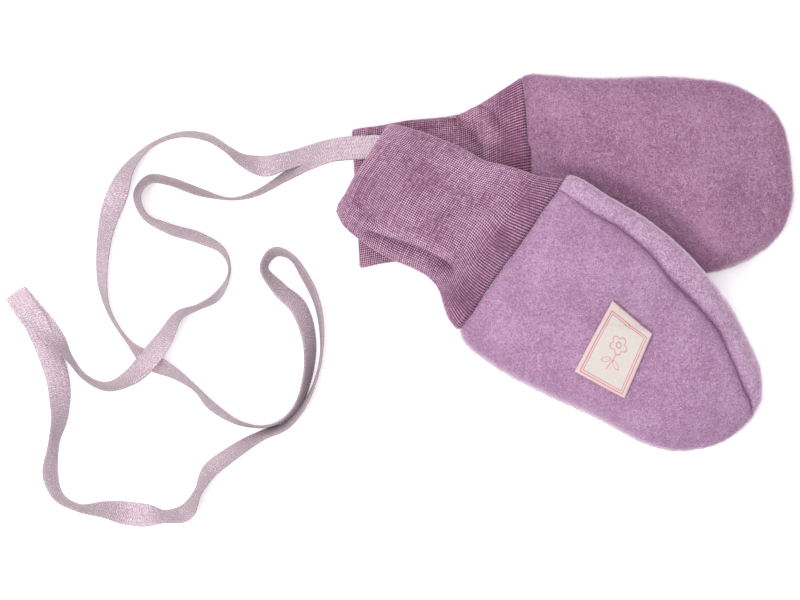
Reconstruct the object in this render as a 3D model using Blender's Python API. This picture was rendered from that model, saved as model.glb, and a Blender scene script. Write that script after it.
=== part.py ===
"""A pair of thumbless baby mittens in brushed fleece with rib-knit cuffs, joined by one flat
woven tape, laid on a table with one mitten over the other.

Each mitten is two cut fleece panels sewn at the side seams and a knitted tube cuff. Every
piece is a solid wall of its own. Sizes are in millimetres until a mesh is written, in metres.
+X runs from the cuffs to the fingertips, +Z is up, and the table is the plane Z = 0.
"""

import math
from collections import namedtuple

import bpy
import numpy as np
from mathutils.bvhtree import BVHTree

MM = 0.001

# Walls and gaps.
FLEECE_WALL = 3.0        # brushed wool fleece, one layer
KNIT_WALL = 2.0          # rib knit, folded double
LABEL_WALL = 1.0         # woven label with its turned edges
SEAM_GAP = 0.34          # between two cut edges sewn to each other
TIP_SHIFT = 0.3          # of each panel's own tip point, up or down
LABEL_GAP = 0.5          # under the label, so that its flat facets clear the panel's

# The tape that joins the two cuffs.
TAPE_WIDTH = 8.2
TAPE_THICK = 1.2
TAPE_STEP = 7.0          # distance between its cross-sections
TAPE_CLEAR = 0.45        # between the tape and what it lies on
FOLD_RADIUS = 0.9        # of the turn where the tape is folded flat on itself

# How one thing rests on another.
REST_SLOPE = 0.6         # steepest fall of cloth off an edge
REST_REACH = 4.5         # flat distance carried by each point beneath
REST_SOFTEN = 4.0        # spread of the softening
REST_CLEAR = 0.7         # between the upper mitten and the lower one
PRESSED = 10.5           # thickness of the lower mitten under the upper one
PRESS_SLOPE = 0.45       # how fast it fills out beyond the upper one's edge

# Roundness of the cross-sections: 2 is an ellipse, higher is squarer.
ROUND_TOP = 2.2
ROUND_UNDER = 3.6
UNDER_FLAT = 1.12        # how far the under curve is driven past the table before it is cut flat

AROUND = 120             # points on the working section
PANEL_POINTS = 15        # points across a panel
CUFF_POINTS = 28         # points round a cuff
SEAM_UNDER = math.radians(8.0)   # the far side seam sits this far under the widest line

Frame = namedtuple("Frame", "x y angle")
Rib = namedtuple("Rib", "u_up up u_lo lo seam low mid high")
Bend = namedtuple("Bend", "x y lean lift")
Pole = namedtuple("Pole", "u v z")

# Where each mitten lies: the middle of its cuff seam and the direction of its fingertips.
UPPER = Frame(-18.9, 0.9, math.radians(-35.0))
LOWER = Frame(-13.0, 33.1, math.radians(-7.0))

# Sections of the fleece bodies, cuff seam to fingertips. (u_up, up) and (u_lo, lo) are the two
# edges of the outline; seam is where the near side seam crosses; low, mid and high are the
# heights of the underside, of the widest line and of the top.
UPPER_BODY = [
    Rib(0.3, 35.4, 0.3, -31.3, 29.2, 0.0, 6.6, 15.4),
    Rib(7.0, 36.6, 6.0, -33.8, 29.2, 0.0, 7.2, 18.5),
    Rib(15.0, 37.0, 14.5, -34.1, 29.5, 0.0, 7.6, 20.8),
    Rib(24.0, 38.0, 24.0, -33.7, 30.2, 0.0, 7.8, 22.0),
    Rib(32.0, 38.2, 32.0, -32.8, 29.8, 0.0, 8.0, 22.5),
    Rib(40.0, 37.8, 40.0, -31.7, 28.6, 0.0, 8.0, 22.5),
    Rib(49.0, 36.4, 49.0, -29.9, 25.8, 0.0, 8.0, 22.3),
    Rib(58.0, 34.4, 58.0, -28.2, 24.0, 0.0, 8.0, 21.8),
    Rib(66.0, 31.9, 66.0, -27.4, 22.6, 0.0, 7.8, 21.0),
    Rib(74.0, 29.2, 74.0, -26.4, 20.6, 0.0, 7.6, 19.6),
    Rib(82.0, 25.5, 82.0, -24.0, 16.2, 0.0, 7.4, 17.6),
    Rib(87.5, 22.4, 87.5, -20.7, 12.8, 0.0, 7.2, 15.8),
    Rib(91.5, 19.8, 91.5, -17.0, 10.2, 0.4, 7.0, 14.2),
    Rib(94.3, 17.2, 94.3, -14.2, 8.6, 1.0, 7.0, 12.9),
    Rib(96.6, 14.2, 96.6, -10.8, 7.5, 2.0, 7.0, 11.7),
    Rib(98.4, 11.2, 98.4, -7.2, 5.6, 3.3, 7.0, 10.3),
    Rib(99.8, 7.9, 99.8, -2.6, 4.2, 4.9, 7.0, 8.9),
]
UPPER_TIP = Pole(100.5, 3.4, 7.0)

LOWER_BODY = [
    Rib(-5.2, 31.9, 3.3, -31.0, 31.9, 0.0, 6.2, 13.5),
    Rib(2.5, 33.0, 9.0, -32.3, 33.0, 0.0, 6.9, 17.0),
    Rib(12.0, 33.4, 16.0, -33.2, 33.4, 0.0, 7.2, 19.2),
    Rib(23.0, 34.3, 25.0, -33.5, 34.3, 0.0, 7.4, 20.4),
    Rib(34.0, 36.0, 34.0, -33.2, 36.0, 0.0, 7.5, 21.0),
    Rib(44.0, 37.4, 44.0, -32.7, 37.4, 0.0, 7.5, 21.0),
    Rib(54.0, 37.9, 54.0, -31.7, 37.9, 0.0, 7.5, 20.8),
    Rib(63.0, 38.0, 63.0, -30.1, 38.0, 0.0, 7.4, 20.2),
    Rib(70.0, 36.8, 70.0, -28.0, 36.8, 0.0, 7.2, 19.2),
    Rib(76.0, 34.4, 76.0, -25.4, 34.4, 0.0, 7.0, 17.8),
    Rib(80.8, 31.9, 80.8, -22.4, 31.9, 0.0, 6.8, 16.2),
    Rib(84.5, 28.4, 84.5, -19.4, 28.4, 0.3, 6.6, 14.6),
    Rib(87.0, 24.9, 87.0, -16.9, 24.9, 0.8, 6.5, 13.2),
    Rib(89.2, 19.3, 89.2, -14.0, 19.3, 1.6, 6.5, 11.8),
    Rib(91.0, 12.6, 91.0, -10.9, 12.6, 2.8, 6.5, 10.3),
    Rib(92.4, 6.2, 92.4, -6.0, 6.2, 4.4, 6.5, 8.7),
]
LOWER_TIP = Pole(93.1, 0.0, 6.5)

# Sections of the cuffs, opening to fleece seam.
UPPER_CUFF = [
    Rib(-61.3, 14.3, -59.2, -21.9, 0.0, 0.0, 5.7, 11.8),
    Rib(-54.0, 17.0, -54.2, -24.0, 0.0, 0.0, 5.9, 12.4),
    Rib(-44.0, 20.0, -44.0, -24.8, 0.0, 0.0, 6.0, 12.8),
    Rib(-35.0, 21.6, -35.0, -24.0, 0.0, 0.0, 6.1, 13.0),
    Rib(-27.0, 22.6, -27.0, -22.4, 0.0, 0.0, 6.1, 13.2),
    Rib(-20.0, 25.4, -20.0, -21.8, 0.0, 0.0, 6.2, 13.4),
    Rib(-14.0, 27.4, -14.5, -23.4, 0.0, 0.0, 6.3, 13.6),
    Rib(-9.5, 28.4, -9.5, -27.2, 0.0, 0.0, 6.4, 13.9),
    Rib(-5.0, 30.4, -5.0, -29.8, 0.0, 0.0, 6.5, 14.2),
    Rib(0.0, 33.4, 0.0, -31.0, 0.0, 0.0, 6.6, 14.6),
]

LOWER_CUFF = [
    Rib(-61.8, 5.4, -53.1, -41.9, 0.0, 0.0, 4.9, 10.0),
    Rib(-52.0, 8.4, -44.0, -39.0, 0.0, 0.0, 5.0, 10.4),
    Rib(-42.0, 11.2, -34.0, -36.8, 0.0, 0.0, 5.1, 10.6),
    Rib(-33.0, 13.3, -25.0, -34.9, 0.0, 0.0, 5.2, 10.8),
    Rib(-25.5, 15.6, -17.5, -33.4, 0.0, 0.0, 5.3, 11.0),
    Rib(-19.0, 20.2, -11.5, -32.4, 0.0, 0.0, 5.4, 11.3),
    Rib(-13.0, 25.2, -6.5, -31.6, 0.0, 0.0, 5.5, 11.6),
    Rib(-8.6, 28.6, -2.0, -31.2, 0.0, 0.0, 5.7, 12.0),
    Rib(-5.62, 30.8, 2.86, -30.8, 0.0, 0.0, 5.9, 12.6),
]
LOWER_BOW = 1.6          # how far the lower mitten's cuff seam bows towards the fingertips

# The upper mitten's edge over the lower body, along the lower mitten: (u, v) of three points.
PRESS_LINE = [(-5.0, 8.5), (15.0, -1.0), (51.0, -18.0), (72.0, -36.0)]

# Woven label on the upper mitten: its four corners on the back panel.
LABEL_CORNERS = [(36.5, 8.2), (54.6, 6.6), (59.8, -17.1), (40.2, -19.4)]
LABEL_ROWS = 8
LABEL_COLUMNS = 10

# Route of the tape. lean is the turn of its width from flat, in degrees; lift is added height.
TAPE_OUT = [
    Bend(-60.0, 40.0, 0, 0.0), Bend(-68.0, 39.8, 0, 0.0), Bend(-76.0, 39.3, 6, 0.0),
    Bend(-84.0, 38.3, 22, 0.0), Bend(-92.8, 36.6, 42, 0.0), Bend(-99.8, 34.5, 35, 0.0),
    Bend(-105.5, 33.3, 28, 0.0), Bend(-112.7, 35.5, 59, 0.0), Bend(-118.3, 39.4, 75, 0.0),
    Bend(-125.5, 43.5, 73, 0.0), Bend(-134.8, 44.3, 78, 0.0), Bend(-144.6, 40.6, 80, 0.0),
    Bend(-151.9, 33.4, 62, 0.0), Bend(-157.0, 22.6, 22, 0.0), Bend(-160.8, 9.3, 47, 0.0),
    Bend(-161.9, -5.4, 62, 0.0), Bend(-159.3, -17.7, 80, 0.0), Bend(-152.3, -28.5, 78, 0.0),
    Bend(-144.9, -34.8, 40, 0.0), Bend(-136.5, -39.2, 62, 0.0), Bend(-129.2, -44.5, 77, 0.0),
    Bend(-123.2, -50.8, 68, 0.0), Bend(-113.8, -56.5, 80, 0.0), Bend(-103.3, -57.4, 90, 0.0),
    Bend(-94.4, -51.8, 77, 0.0), Bend(-90.0, -40.4, 69, 0.0), Bend(-89.4, -27.5, 56, 0.0),
    Bend(-92.8, -16.6, 44, 0.0), Bend(-99.8, -9.6, 53, 0.0), Bend(-105.2, -2.6, 72, 0.0),
    Bend(-101.8, 3.1, 67, 0.0), Bend(-95.6, 1.4, 77, 0.0), Bend(-90.6, -6.0, 71, 0.0),
    Bend(-86.6, -14.9, 75, 0.0), Bend(-85.0, -25.7, 82, 0.0), Bend(-85.9, -36.9, 90, 0.0),
    Bend(-90.1, -48.1, 82, 0.0), Bend(-97.0, -56.8, 73, 0.0), Bend(-106.1, -60.8, 67, 0.0),
    Bend(-115.5, -66.2, 53, 0.0), Bend(-124.0, -72.8, 48, 0.0), Bend(-128.5, -80.7, 70, 0.0),
    Bend(-132.7, -87.6, 45, 0.0), Bend(-140.7, -89.1, 58, 0.0), Bend(-149.8, -88.5, 6, 0.0),
    Bend(-160.0, -86.8, 43, 0.0), Bend(-169.8, -86.1, 75, 0.0), Bend(-177.1, -82.0, 67, 0.0),
    Bend(-179.9, -74.0, 52, 0.0), Bend(-178.6, -63.5, 66, 0.0), Bend(-176.6, -53.5, 44, 0.0),
    Bend(-177.3, -42.5, 14, 0.2), Bend(-180.5, -31.5, 0, 1.2), Bend(-185.3, -21.0, 0, 1.8),
]
TAPE_BACK = [
    Bend(-184.3, -20.2, 6, 0.0), Bend(-178.6, -27.2, 34, 0.0), Bend(-173.8, -33.3, 74, 0.0),
    Bend(-168.0, -40.4, 80, 0.0), Bend(-160.3, -43.8, 70, 0.0), Bend(-152.3, -40.6, 48, 1.5),
    Bend(-145.1, -34.0, 30, 6.4), Bend(-139.3, -25.7, 46, 2.0), Bend(-135.0, -18.9, 66, 0.0),
    Bend(-128.5, -16.1, 77, 0.0), Bend(-121.5, -12.1, 70, 0.0), Bend(-117.4, -3.7, 88, 0.0),
    Bend(-119.8, 3.9, 75, 0.0), Bend(-127.8, 8.2, 63, 0.0), Bend(-138.3, 11.4, 65, 0.0),
    Bend(-146.7, 15.8, 75, 0.0), Bend(-149.5, 23.3, 70, 0.0), Bend(-145.3, 28.7, 68, 0.0),
    Bend(-137.9, 27.8, 71, 0.0), Bend(-127.8, 24.2, 72, 0.0), Bend(-117.3, 21.8, 88, 0.0),
    Bend(-108.2, 23.6, 77, 0.0), Bend(-98.4, 29.2, 67, 0.0), Bend(-90.0, 34.5, 50, 1.6),
    Bend(-81.5, 38.4, 22, 3.0), Bend(-74.0, 39.4, 4, 2.2), Bend(-67.0, 39.8, 0, 1.6),
    Bend(-60.8, 39.8, 0, 1.6),
]
FOLD_AT = (-191.6, -11.9)


def to_table(frame, u, v):
    """Places local (u, v) on the table: u along the frame's angle, v to its left."""
    c, s = math.cos(frame.angle), math.sin(frame.angle)
    return frame.x + c * u - s * v, frame.y + s * u + c * v


def signed_power(value, power):
    return np.sign(value) * np.abs(value) ** power


def section(rib, bow=0.0, press=None):
    """One closed section, from the near edge over the top to the far edge and back under."""
    phi = np.linspace(0.0, 2.0 * math.pi, AROUND, endpoint=False)
    over = np.sin(phi) >= 0.0
    power = np.where(over, 2.0 / ROUND_TOP, 2.0 / ROUND_UNDER)
    t = signed_power(np.cos(phi), power)
    rise = np.abs(np.sin(phi)) ** power
    u = 0.5 * (rib.u_up + rib.u_lo) + 0.5 * t * (rib.u_up - rib.u_lo) + bow * (1.0 - t * t)
    v = 0.5 * (rib.up + rib.lo) + 0.5 * t * (rib.up - rib.lo)
    top = rib.mid + (rib.high - rib.mid) * rise
    under = np.maximum(rib.low, rib.mid - UNDER_FLAT * (rib.mid - rib.low) * rise)
    if press is not None:
        line = np.interp(u, [p[0] for p in press], [p[1] for p in press])
        cap = PRESSED + PRESS_SLOPE * np.maximum(0.0, v - line)
        edge = rib.mid + (cap - rib.mid) * np.clip(rise * 1.6, 0.0, 1.0)
        top = np.minimum(top, edge)
    return np.stack([u, v, np.where(over, top, under)], axis=1)


def loft(frame, ribs, bow=0.0, press=None, tip=None):
    """The outer skin on a (station, angle) grid, placed on the table."""
    rows = [section(rib, bow if tip is None or i == 0 else 0.0, press) for i, rib in enumerate(ribs)]
    if tip is not None:
        rows.append(np.tile(np.array([tip.u, tip.v, tip.z]), (AROUND, 1)))
    grid = np.array(rows)
    x, y = to_table(frame, grid[..., 0], grid[..., 1])
    return np.stack([x, y, grid[..., 2]], axis=-1)


def carried(points, slope, reach):
    """A function for the height of soft cloth carried by points: each point holds the cloth up
    over its reach, and beyond it the cloth falls at the slope. The result is softened."""
    def height(x, y):
        x, y = np.asarray(x, float), np.asarray(y, float)
        total = np.zeros(x.shape)
        steps = (-REST_SOFTEN, 0.0, REST_SOFTEN)
        for dx in steps:
            for dy in steps:
                if dx and dy:
                    continue
                best = np.zeros(x.shape)
                for start in range(0, len(points), 400):
                    block = points[start:start + 400]
                    away = np.hypot(x[..., None] + dx - block[:, 0], y[..., None] + dy - block[:, 1])
                    fall = block[:, 2] - slope * np.maximum(0.0, away - reach)
                    best = np.maximum(best, fall.max(axis=-1))
                total += best / 5.0
        return total
    return height


def thicken_rows(grid, steps):
    """More stations between the given ones, straight between them."""
    at = np.linspace(0.0, len(grid) - 1.0, (len(grid) - 1) * steps + 1)
    low = np.minimum(at.astype(int), len(grid) - 2)
    mix = (at - low)[:, None, None]
    return grid[low] * (1.0 - mix) + grid[low + 1] * mix


def upper_points(grid):
    """The points of a skin that face up, as a list."""
    half = AROUND // 2
    return thicken_rows(grid, 5)[:, 0:half + 1:4, :].reshape(-1, 3)


def end_axis(ring):
    """The level direction square to an end ring's chord, from the cuff to the fingertips."""
    chord = ring[0] - ring[AROUND // 2]
    axis = np.array([chord[1], -chord[0], 0.0])
    return axis / np.linalg.norm(axis)


def inner_skin(grid, wall, tip_axis=None):
    """The skin moved in by the wall. At an open end it moves within the end's own plane."""
    along = np.gradient(grid, axis=0)
    around = np.roll(grid, -1, axis=1) - np.roll(grid, 1, axis=1)
    normal = np.cross(around, along)
    normal[0] = np.cross(around[0], end_axis(grid[0]))
    if tip_axis is None:
        normal[-1] = np.cross(around[-1], end_axis(grid[-1]))
    normal /= np.maximum(np.linalg.norm(normal, axis=-1, keepdims=True), 1e-9)
    if tip_axis is not None:
        normal[-1] = np.array(tip_axis)
    return grid - wall * normal


def at_angle(ring, inner, start, stop, count):
    """Points of a ring and of its inner ring from one angle index to another, evenly spaced
    along the outer ring, with the seam gap taken off both ends."""
    fine = np.linspace(start, stop, 241)
    wrap = np.arange(AROUND + 1)
    full = np.vstack([ring, ring[:1]])
    deep = np.vstack([inner, inner[:1]])
    outer = np.stack([np.interp(fine % AROUND, wrap, full[:, k]) for k in range(3)], axis=1)
    inside = np.stack([np.interp(fine % AROUND, wrap, deep[:, k]) for k in range(3)], axis=1)
    run, deep_run = [np.concatenate([[0.0], np.cumsum(np.linalg.norm(np.diff(p, axis=0), axis=1))])
                     for p in (outer, inside)]
    least = np.minimum(run, deep_run)
    left = np.minimum(run[-1] - run, deep_run[-1] - deep_run)
    first = min(int(np.argmax(least >= 0.5 * SEAM_GAP)) or 48, 48)
    last = max(len(fine) - 1 - int(np.argmax(left[::-1] >= 0.5 * SEAM_GAP)), len(fine) - 49)
    want = np.linspace(run[first], run[last], count)
    pick = np.interp(want, run, np.arange(len(fine)))
    base = np.arange(len(fine))
    return (np.stack([np.interp(pick, base, outer[:, k]) for k in range(3)], axis=1),
            np.stack([np.interp(pick, base, inside[:, k]) for k in range(3)], axis=1))


def seam_index(rib):
    """The angle index at which the near side seam crosses the top of a section."""
    centre, half = 0.5 * (rib.up + rib.lo), 0.5 * (rib.up - rib.lo)
    t = min(1.0, max(-1.0, (rib.seam - centre) / half))
    phi = math.acos(min(1.0, abs(t) ** (ROUND_TOP / 2.0)) * (1.0 if t >= 0 else -1.0))
    return phi / (2.0 * math.pi) * AROUND


def panel(grid, inner, ribs, over, tip_shift):
    """A cut panel as outer and inner rows: over the top between the seams, or under them."""
    far = AROUND * (0.5 + SEAM_UNDER / (2.0 * math.pi))
    outer_rows, inner_rows = [], []
    for ring, deep, rib in zip(grid, inner, ribs):
        near = seam_index(rib)
        span = (near, far) if over else (far, near + AROUND)
        a, b = at_angle(ring, deep, span[0], span[1], PANEL_POINTS)
        outer_rows.append(a)
        inner_rows.append(b)
    shift = np.array([0.0, 0.0, tip_shift])
    for back, share in ((1, 0.8), (2, 0.4)):
        outer_rows[-back] = outer_rows[-back] + share * shift
        inner_rows[-back] = inner_rows[-back] + share * shift
    return np.array(outer_rows), np.array(inner_rows), grid[-1, 0] + shift, inner[-1, 0] + shift


def add_object(name, vertices, faces, colour, roughness):
    """Writes one closed body with its own material, faces outward."""
    mesh = bpy.data.meshes.new(name)
    mesh.from_pydata([tuple(float(c) * MM for c in p) for p in vertices], [], faces)
    mesh.validate()
    mesh.update()
    volume = 0.0
    for face in mesh.polygons:
        corners = [mesh.vertices[k].co for k in face.vertices]
        for k in range(1, len(corners) - 1):
            volume += corners[0].dot(corners[k].cross(corners[k + 1]))
    if volume < 0.0:
        mesh.flip_normals()
    ob = bpy.data.objects.new(name, mesh)
    bpy.context.scene.collection.objects.link(ob)
    material = bpy.data.materials.new(name)
    material.use_nodes = True
    shader = material.node_tree.nodes["Principled BSDF"]
    shader.inputs["Base Color"].default_value = (*colour, 1.0)
    shader.inputs["Roughness"].default_value = roughness
    mesh.materials.append(material)
    return ob


def triangles(a, b, c, d):
    return [(a, b, c), (a, c, d)]


def sheet_body(outer, inner, tip_outer=None, tip_inner=None):
    """Vertices and faces of a wall with two side edges and a start edge. It ends in a tip, or in
    a fourth edge."""
    rows, columns = outer.shape[:2]
    count = rows * columns
    vertices = [*outer.reshape(-1, 3), *inner.reshape(-1, 3)]
    faces = []

    def top(i, j):
        return i * columns + j

    def low(i, j):
        return count + i * columns + j

    for i in range(rows - 1):
        for j in range(columns - 1):
            faces += triangles(top(i, j), top(i, j + 1), top(i + 1, j + 1), top(i + 1, j))
            faces += triangles(low(i, j), low(i + 1, j), low(i + 1, j + 1), low(i, j + 1))
        last = columns - 1
        faces += triangles(top(i, 0), top(i + 1, 0), low(i + 1, 0), low(i, 0))
        faces += triangles(top(i, last), low(i, last), low(i + 1, last), top(i + 1, last))
    for j in range(columns - 1):
        faces += triangles(top(0, j), low(0, j), low(0, j + 1), top(0, j + 1))
    end, last = rows - 1, columns - 1
    if tip_outer is None:
        for j in range(columns - 1):
            faces += triangles(top(end, j), top(end, j + 1), low(end, j + 1), low(end, j))
    else:
        crown, root = len(vertices), len(vertices) + 1
        vertices += [tip_outer, tip_inner]
        for j in range(columns - 1):
            faces.append((top(end, j), top(end, j + 1), crown))
            faces.append((low(end, j + 1), low(end, j), root))
        faces += triangles(top(end, 0), crown, root, low(end, 0))
        faces += triangles(top(end, last), low(end, last), root, crown)
    return vertices, faces


def tube_body(outer, inner):
    """Vertices and faces of an open tube wall."""
    rows, columns = outer.shape[:2]
    count = rows * columns
    vertices = [*outer.reshape(-1, 3), *inner.reshape(-1, 3)]
    faces = []
    for j in range(columns):
        k = (j + 1) % columns
        for i in range(rows - 1):
            a, b, c, d = i * columns + j, i * columns + k, (i + 1) * columns + k, (i + 1) * columns + j
            faces += triangles(a, b, c, d)
            faces += triangles(count + a, count + d, count + c, count + b)
        end = (rows - 1) * columns
        faces += triangles(j, count + j, count + k, k)
        faces += triangles(end + j, end + k, count + end + k, count + end + j)
    return vertices, faces


def even_ring(ring, inner, count):
    """A ring and its inner ring cut to a number of points evenly spaced along the outer one."""
    full = np.vstack([ring, ring[:1]])
    deep = np.vstack([inner, inner[:1]])
    run = np.concatenate([[0.0], np.cumsum(np.linalg.norm(np.diff(full, axis=0), axis=1))])
    pick = np.linspace(0.0, run[-1], count + 1)[:-1]
    return (np.stack([np.interp(pick, run, full[:, k]) for k in range(3)], axis=1),
            np.stack([np.interp(pick, run, deep[:, k]) for k in range(3)], axis=1))


def curve_through(bends, step):
    """A smooth route through the bends (a cardinal spline), cut into even steps."""
    points = np.array([[b.x, b.y, b.lean, b.lift] for b in bends], float)
    padded = np.vstack([2 * points[0] - points[1], points, 2 * points[-1] - points[-2]])
    rows = []
    for i in range(1, len(padded) - 2):
        p0, p1, p2, p3 = padded[i - 1:i + 3]
        for t in np.linspace(0.0, 1.0, 24, endpoint=False):
            rows.append(0.5 * (2 * p1 + (p2 - p0) * t + (2 * p0 - 5 * p1 + 4 * p2 - p3) * t * t
                               + (3 * p1 - p0 - 3 * p2 + p3) * t ** 3))
    rows.append(padded[-2])
    rows = np.array(rows)
    run = np.concatenate([[0.0], np.cumsum(np.linalg.norm(np.diff(rows[:, :2], axis=0), axis=1))])
    want = np.linspace(0.0, run[-1], max(2, int(round(run[-1] / step)) + 1))
    return np.stack([np.interp(want, run, rows[:, k]) for k in range(4)], axis=1)


def strand(bends, rest, turn):
    """Centre points and width directions of one strand of the tape."""
    route = curve_through(bends, TAPE_STEP)
    heading = np.gradient(route[:, :2], axis=0)
    heading /= np.linalg.norm(heading, axis=1, keepdims=True)
    side = np.stack([-heading[:, 1], heading[:, 0]], axis=1) * turn
    lean = np.radians(np.clip(route[:, 2], 0.0, 90.0))
    half = 0.5 * TAPE_WIDTH * np.sin(lean) + 0.5 * TAPE_THICK * np.cos(lean)
    ground = rest(route[:, 0], route[:, 1])
    ground = ground + TAPE_CLEAR * np.clip(ground, 0.0, 1.0)
    centre = np.column_stack([route[:, :2], ground + half + np.maximum(0.0, route[:, 3])])
    width = np.column_stack([side * np.cos(lean)[:, None], np.sin(lean)])
    return centre, width


def tape_path(rest):
    """The whole tape: out along the first strand, round the flat fold, back along the second."""
    out_centre, out_width = strand(TAPE_OUT, rest, 1.0)
    back_centre, back_width = strand(TAPE_BACK, rest, -1.0)
    corner = np.array(FOLD_AT)
    way = corner - out_centre[-1, :2]
    way /= np.linalg.norm(way)
    middle = 0.5 * TAPE_THICK + FOLD_RADIUS
    centres, widths = [], []
    across = np.array([-way[1], way[0], 0.0])
    centres.append([*(0.5 * (corner + out_centre[-1, :2])), middle + FOLD_RADIUS])
    widths.append(across)
    for degrees in (90, 45, 0, -45, -90):
        angle = math.radians(degrees)
        centres.append([*(corner + way * FOLD_RADIUS * math.cos(angle)),
                        middle + FOLD_RADIUS * math.sin(angle)])
        widths.append(across)
    centres.append([*(0.5 * (corner + back_centre[0, :2])), 0.5 * TAPE_THICK])
    widths.append(across)
    return (np.vstack([out_centre, centres, back_centre]),
            np.vstack([out_width, widths, back_width]))


def tape_body(centre, width):
    """Vertices and faces of the flat tape swept along its path."""
    along = np.gradient(centre, axis=0)
    along /= np.linalg.norm(along, axis=1, keepdims=True)
    wide = width - (width * along).sum(axis=1, keepdims=True) * along
    wide /= np.linalg.norm(wide, axis=1, keepdims=True)
    thick = np.cross(along, wide)
    corners = []
    for a, b in ((1, 1), (-1, 1), (-1, -1), (1, -1)):
        corners.append(centre + wide * (a * 0.5 * TAPE_WIDTH) + thick * (b * 0.5 * TAPE_THICK))
    grid = np.stack(corners, axis=1)
    grid[..., 2] = np.maximum(grid[..., 2], 0.0)
    vertices = list(grid.reshape(-1, 3))
    faces = []
    rows = len(centre)
    for i in range(rows - 1):
        for j in range(4):
            k = (j + 1) % 4
            faces += triangles(4 * i + j, 4 * i + k, 4 * i + 4 + k, 4 * i + 4 + j)
    end = 4 * (rows - 1)
    faces += triangles(0, 3, 2, 1)
    faces += triangles(end, end + 1, end + 2, end + 3)
    return vertices, faces


def label_sheets(frame, vertices, faces):
    """The label's underside and face: places on the panel's own facets moved out by the gap and
    the wall."""
    tree = BVHTree.FromPolygons([tuple(p) for p in vertices], faces)
    a, b, c, d = [np.array(p) for p in LABEL_CORNERS]
    base = np.zeros((LABEL_ROWS, LABEL_COLUMNS, 3))
    for i, s in enumerate(np.linspace(0.0, 1.0, LABEL_ROWS)):
        for j, t in enumerate(np.linspace(0.0, 1.0, LABEL_COLUMNS)):
            place = (a * (1 - s) + b * s) * (1 - t) + (d * (1 - s) + c * s) * t
            x, y = to_table(frame, place[0], place[1])
            hit = tree.ray_cast((x, y, 200.0), (0.0, 0.0, -1.0))
            base[i, j] = (x, y, hit[0].z)
    normal = np.cross(np.gradient(base, axis=0), np.gradient(base, axis=1))
    normal *= np.sign(normal[..., 2:3])
    normal /= np.linalg.norm(normal, axis=-1, keepdims=True)
    under = base + normal * LABEL_GAP
    return under + normal * LABEL_WALL, under


def build():
    """Makes every piece, then centres the mittens on the origin and writes the bodies."""
    lower_body = loft(LOWER, LOWER_BODY, LOWER_BOW, PRESS_LINE, LOWER_TIP)
    lower_cuff = loft(LOWER, LOWER_CUFF, 0.0)
    lower_cuff[-1] = section_row(LOWER, LOWER_CUFF[-1], LOWER_BOW)
    lower_cuff[-2] = section_row(LOWER, LOWER_CUFF[-2], 0.6 * LOWER_BOW)

    tape_rest = carried(upper_points(lower_cuff), REST_SLOPE, REST_REACH)
    centre, width = tape_path(tape_rest)
    near_cuffs = centre[centre[:, 0] > -84.0]
    tape_top = np.vstack([near_cuffs + [0.0, dy, 0.5 * TAPE_THICK] for dy in (-4.0, 0.0, 4.0)])

    beneath = np.vstack([upper_points(lower_body), upper_points(lower_cuff), tape_top])
    rest = carried(beneath, REST_SLOPE, REST_REACH)
    upper_body = loft(UPPER, UPPER_BODY, 0.0, None, UPPER_TIP)
    upper_cuff = loft(UPPER, UPPER_CUFF, 0.0)
    for grid in (upper_body, upper_cuff):
        lift = rest(grid[..., 0], grid[..., 1])
        grid[..., 2] += lift + REST_CLEAR * np.clip(lift, 0.0, 1.0)

    pieces = []
    for name, frame, body, ribs, colour in (
            ("rear", LOWER, lower_body, LOWER_BODY, (0.46, 0.27, 0.43)),
            ("front", UPPER, upper_body, UPPER_BODY, (0.50, 0.31, 0.48))):
        axis = (math.cos(frame.angle), math.sin(frame.angle), 0.0)
        inner = inner_skin(body, FLEECE_WALL, axis)
        for part, over, shift in (("back_panel", True, TIP_SHIFT), ("palm_panel", False, -TIP_SHIFT)):
            outer_rows, inner_rows, tip_a, tip_b = panel(body, inner, ribs, over, shift)
            pieces.append((f"{name}_{part}", *sheet_body(outer_rows, inner_rows, tip_a, tip_b),
                           colour, 0.95))
    for name, cuff in (("rear_cuff", lower_cuff), ("front_cuff", upper_cuff)):
        inner = inner_skin(cuff, KNIT_WALL)
        rings = [even_ring(a, b, CUFF_POINTS) for a, b in zip(cuff, inner)]
        outer_rows = np.array([r[0] for r in rings])
        inner_rows = np.array([r[1] for r in rings])
        pieces.append((name, *tube_body(outer_rows, inner_rows), (0.36, 0.18, 0.32), 0.9))
    panel_piece = [p for p in pieces if p[0] == "front_back_panel"][0]
    face, under = label_sheets(UPPER, panel_piece[1], panel_piece[2])
    pieces.append(("label", *sheet_body(face, under), (0.85, 0.80, 0.78), 0.7))

    stack = np.vstack([np.array(p[1]) for p in pieces])
    middle = 0.5 * (stack.min(axis=0) + stack.max(axis=0))
    shift = np.array([middle[0], middle[1], stack[:, 2].min()])
    pieces.append(("tape", *tape_body(centre, width), (0.72, 0.55, 0.62), 0.85))
    for name, vertices, faces, colour, roughness in pieces:
        add_object(name, np.array(vertices) - shift, faces, colour, roughness)


def section_row(frame, rib, bow):
    """One placed section, for a cuff whose end bows."""
    row = section(rib, bow)
    x, y = to_table(frame, row[:, 0], row[:, 1])
    return np.stack([x, y, row[:, 2]], axis=-1)


for old in list(bpy.data.objects):
    bpy.data.objects.remove(old, do_unlink=True)
build()
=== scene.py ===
"""Looks for a pair of fleece baby mittens with rib-knit cuffs, joined by one woven tape.

Each mitten is a rounded fleece bag cut as two panels, with a groove and puckers along its
seams and a nap of short fibres, and a ribbed tube cuff. Lengths are in millimetres until a
mesh is written.
"""
import logging
import math
from dataclasses import dataclass
from enum import Enum
from itertools import product
from typing import Callable, NamedTuple, Optional, Sequence

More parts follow.
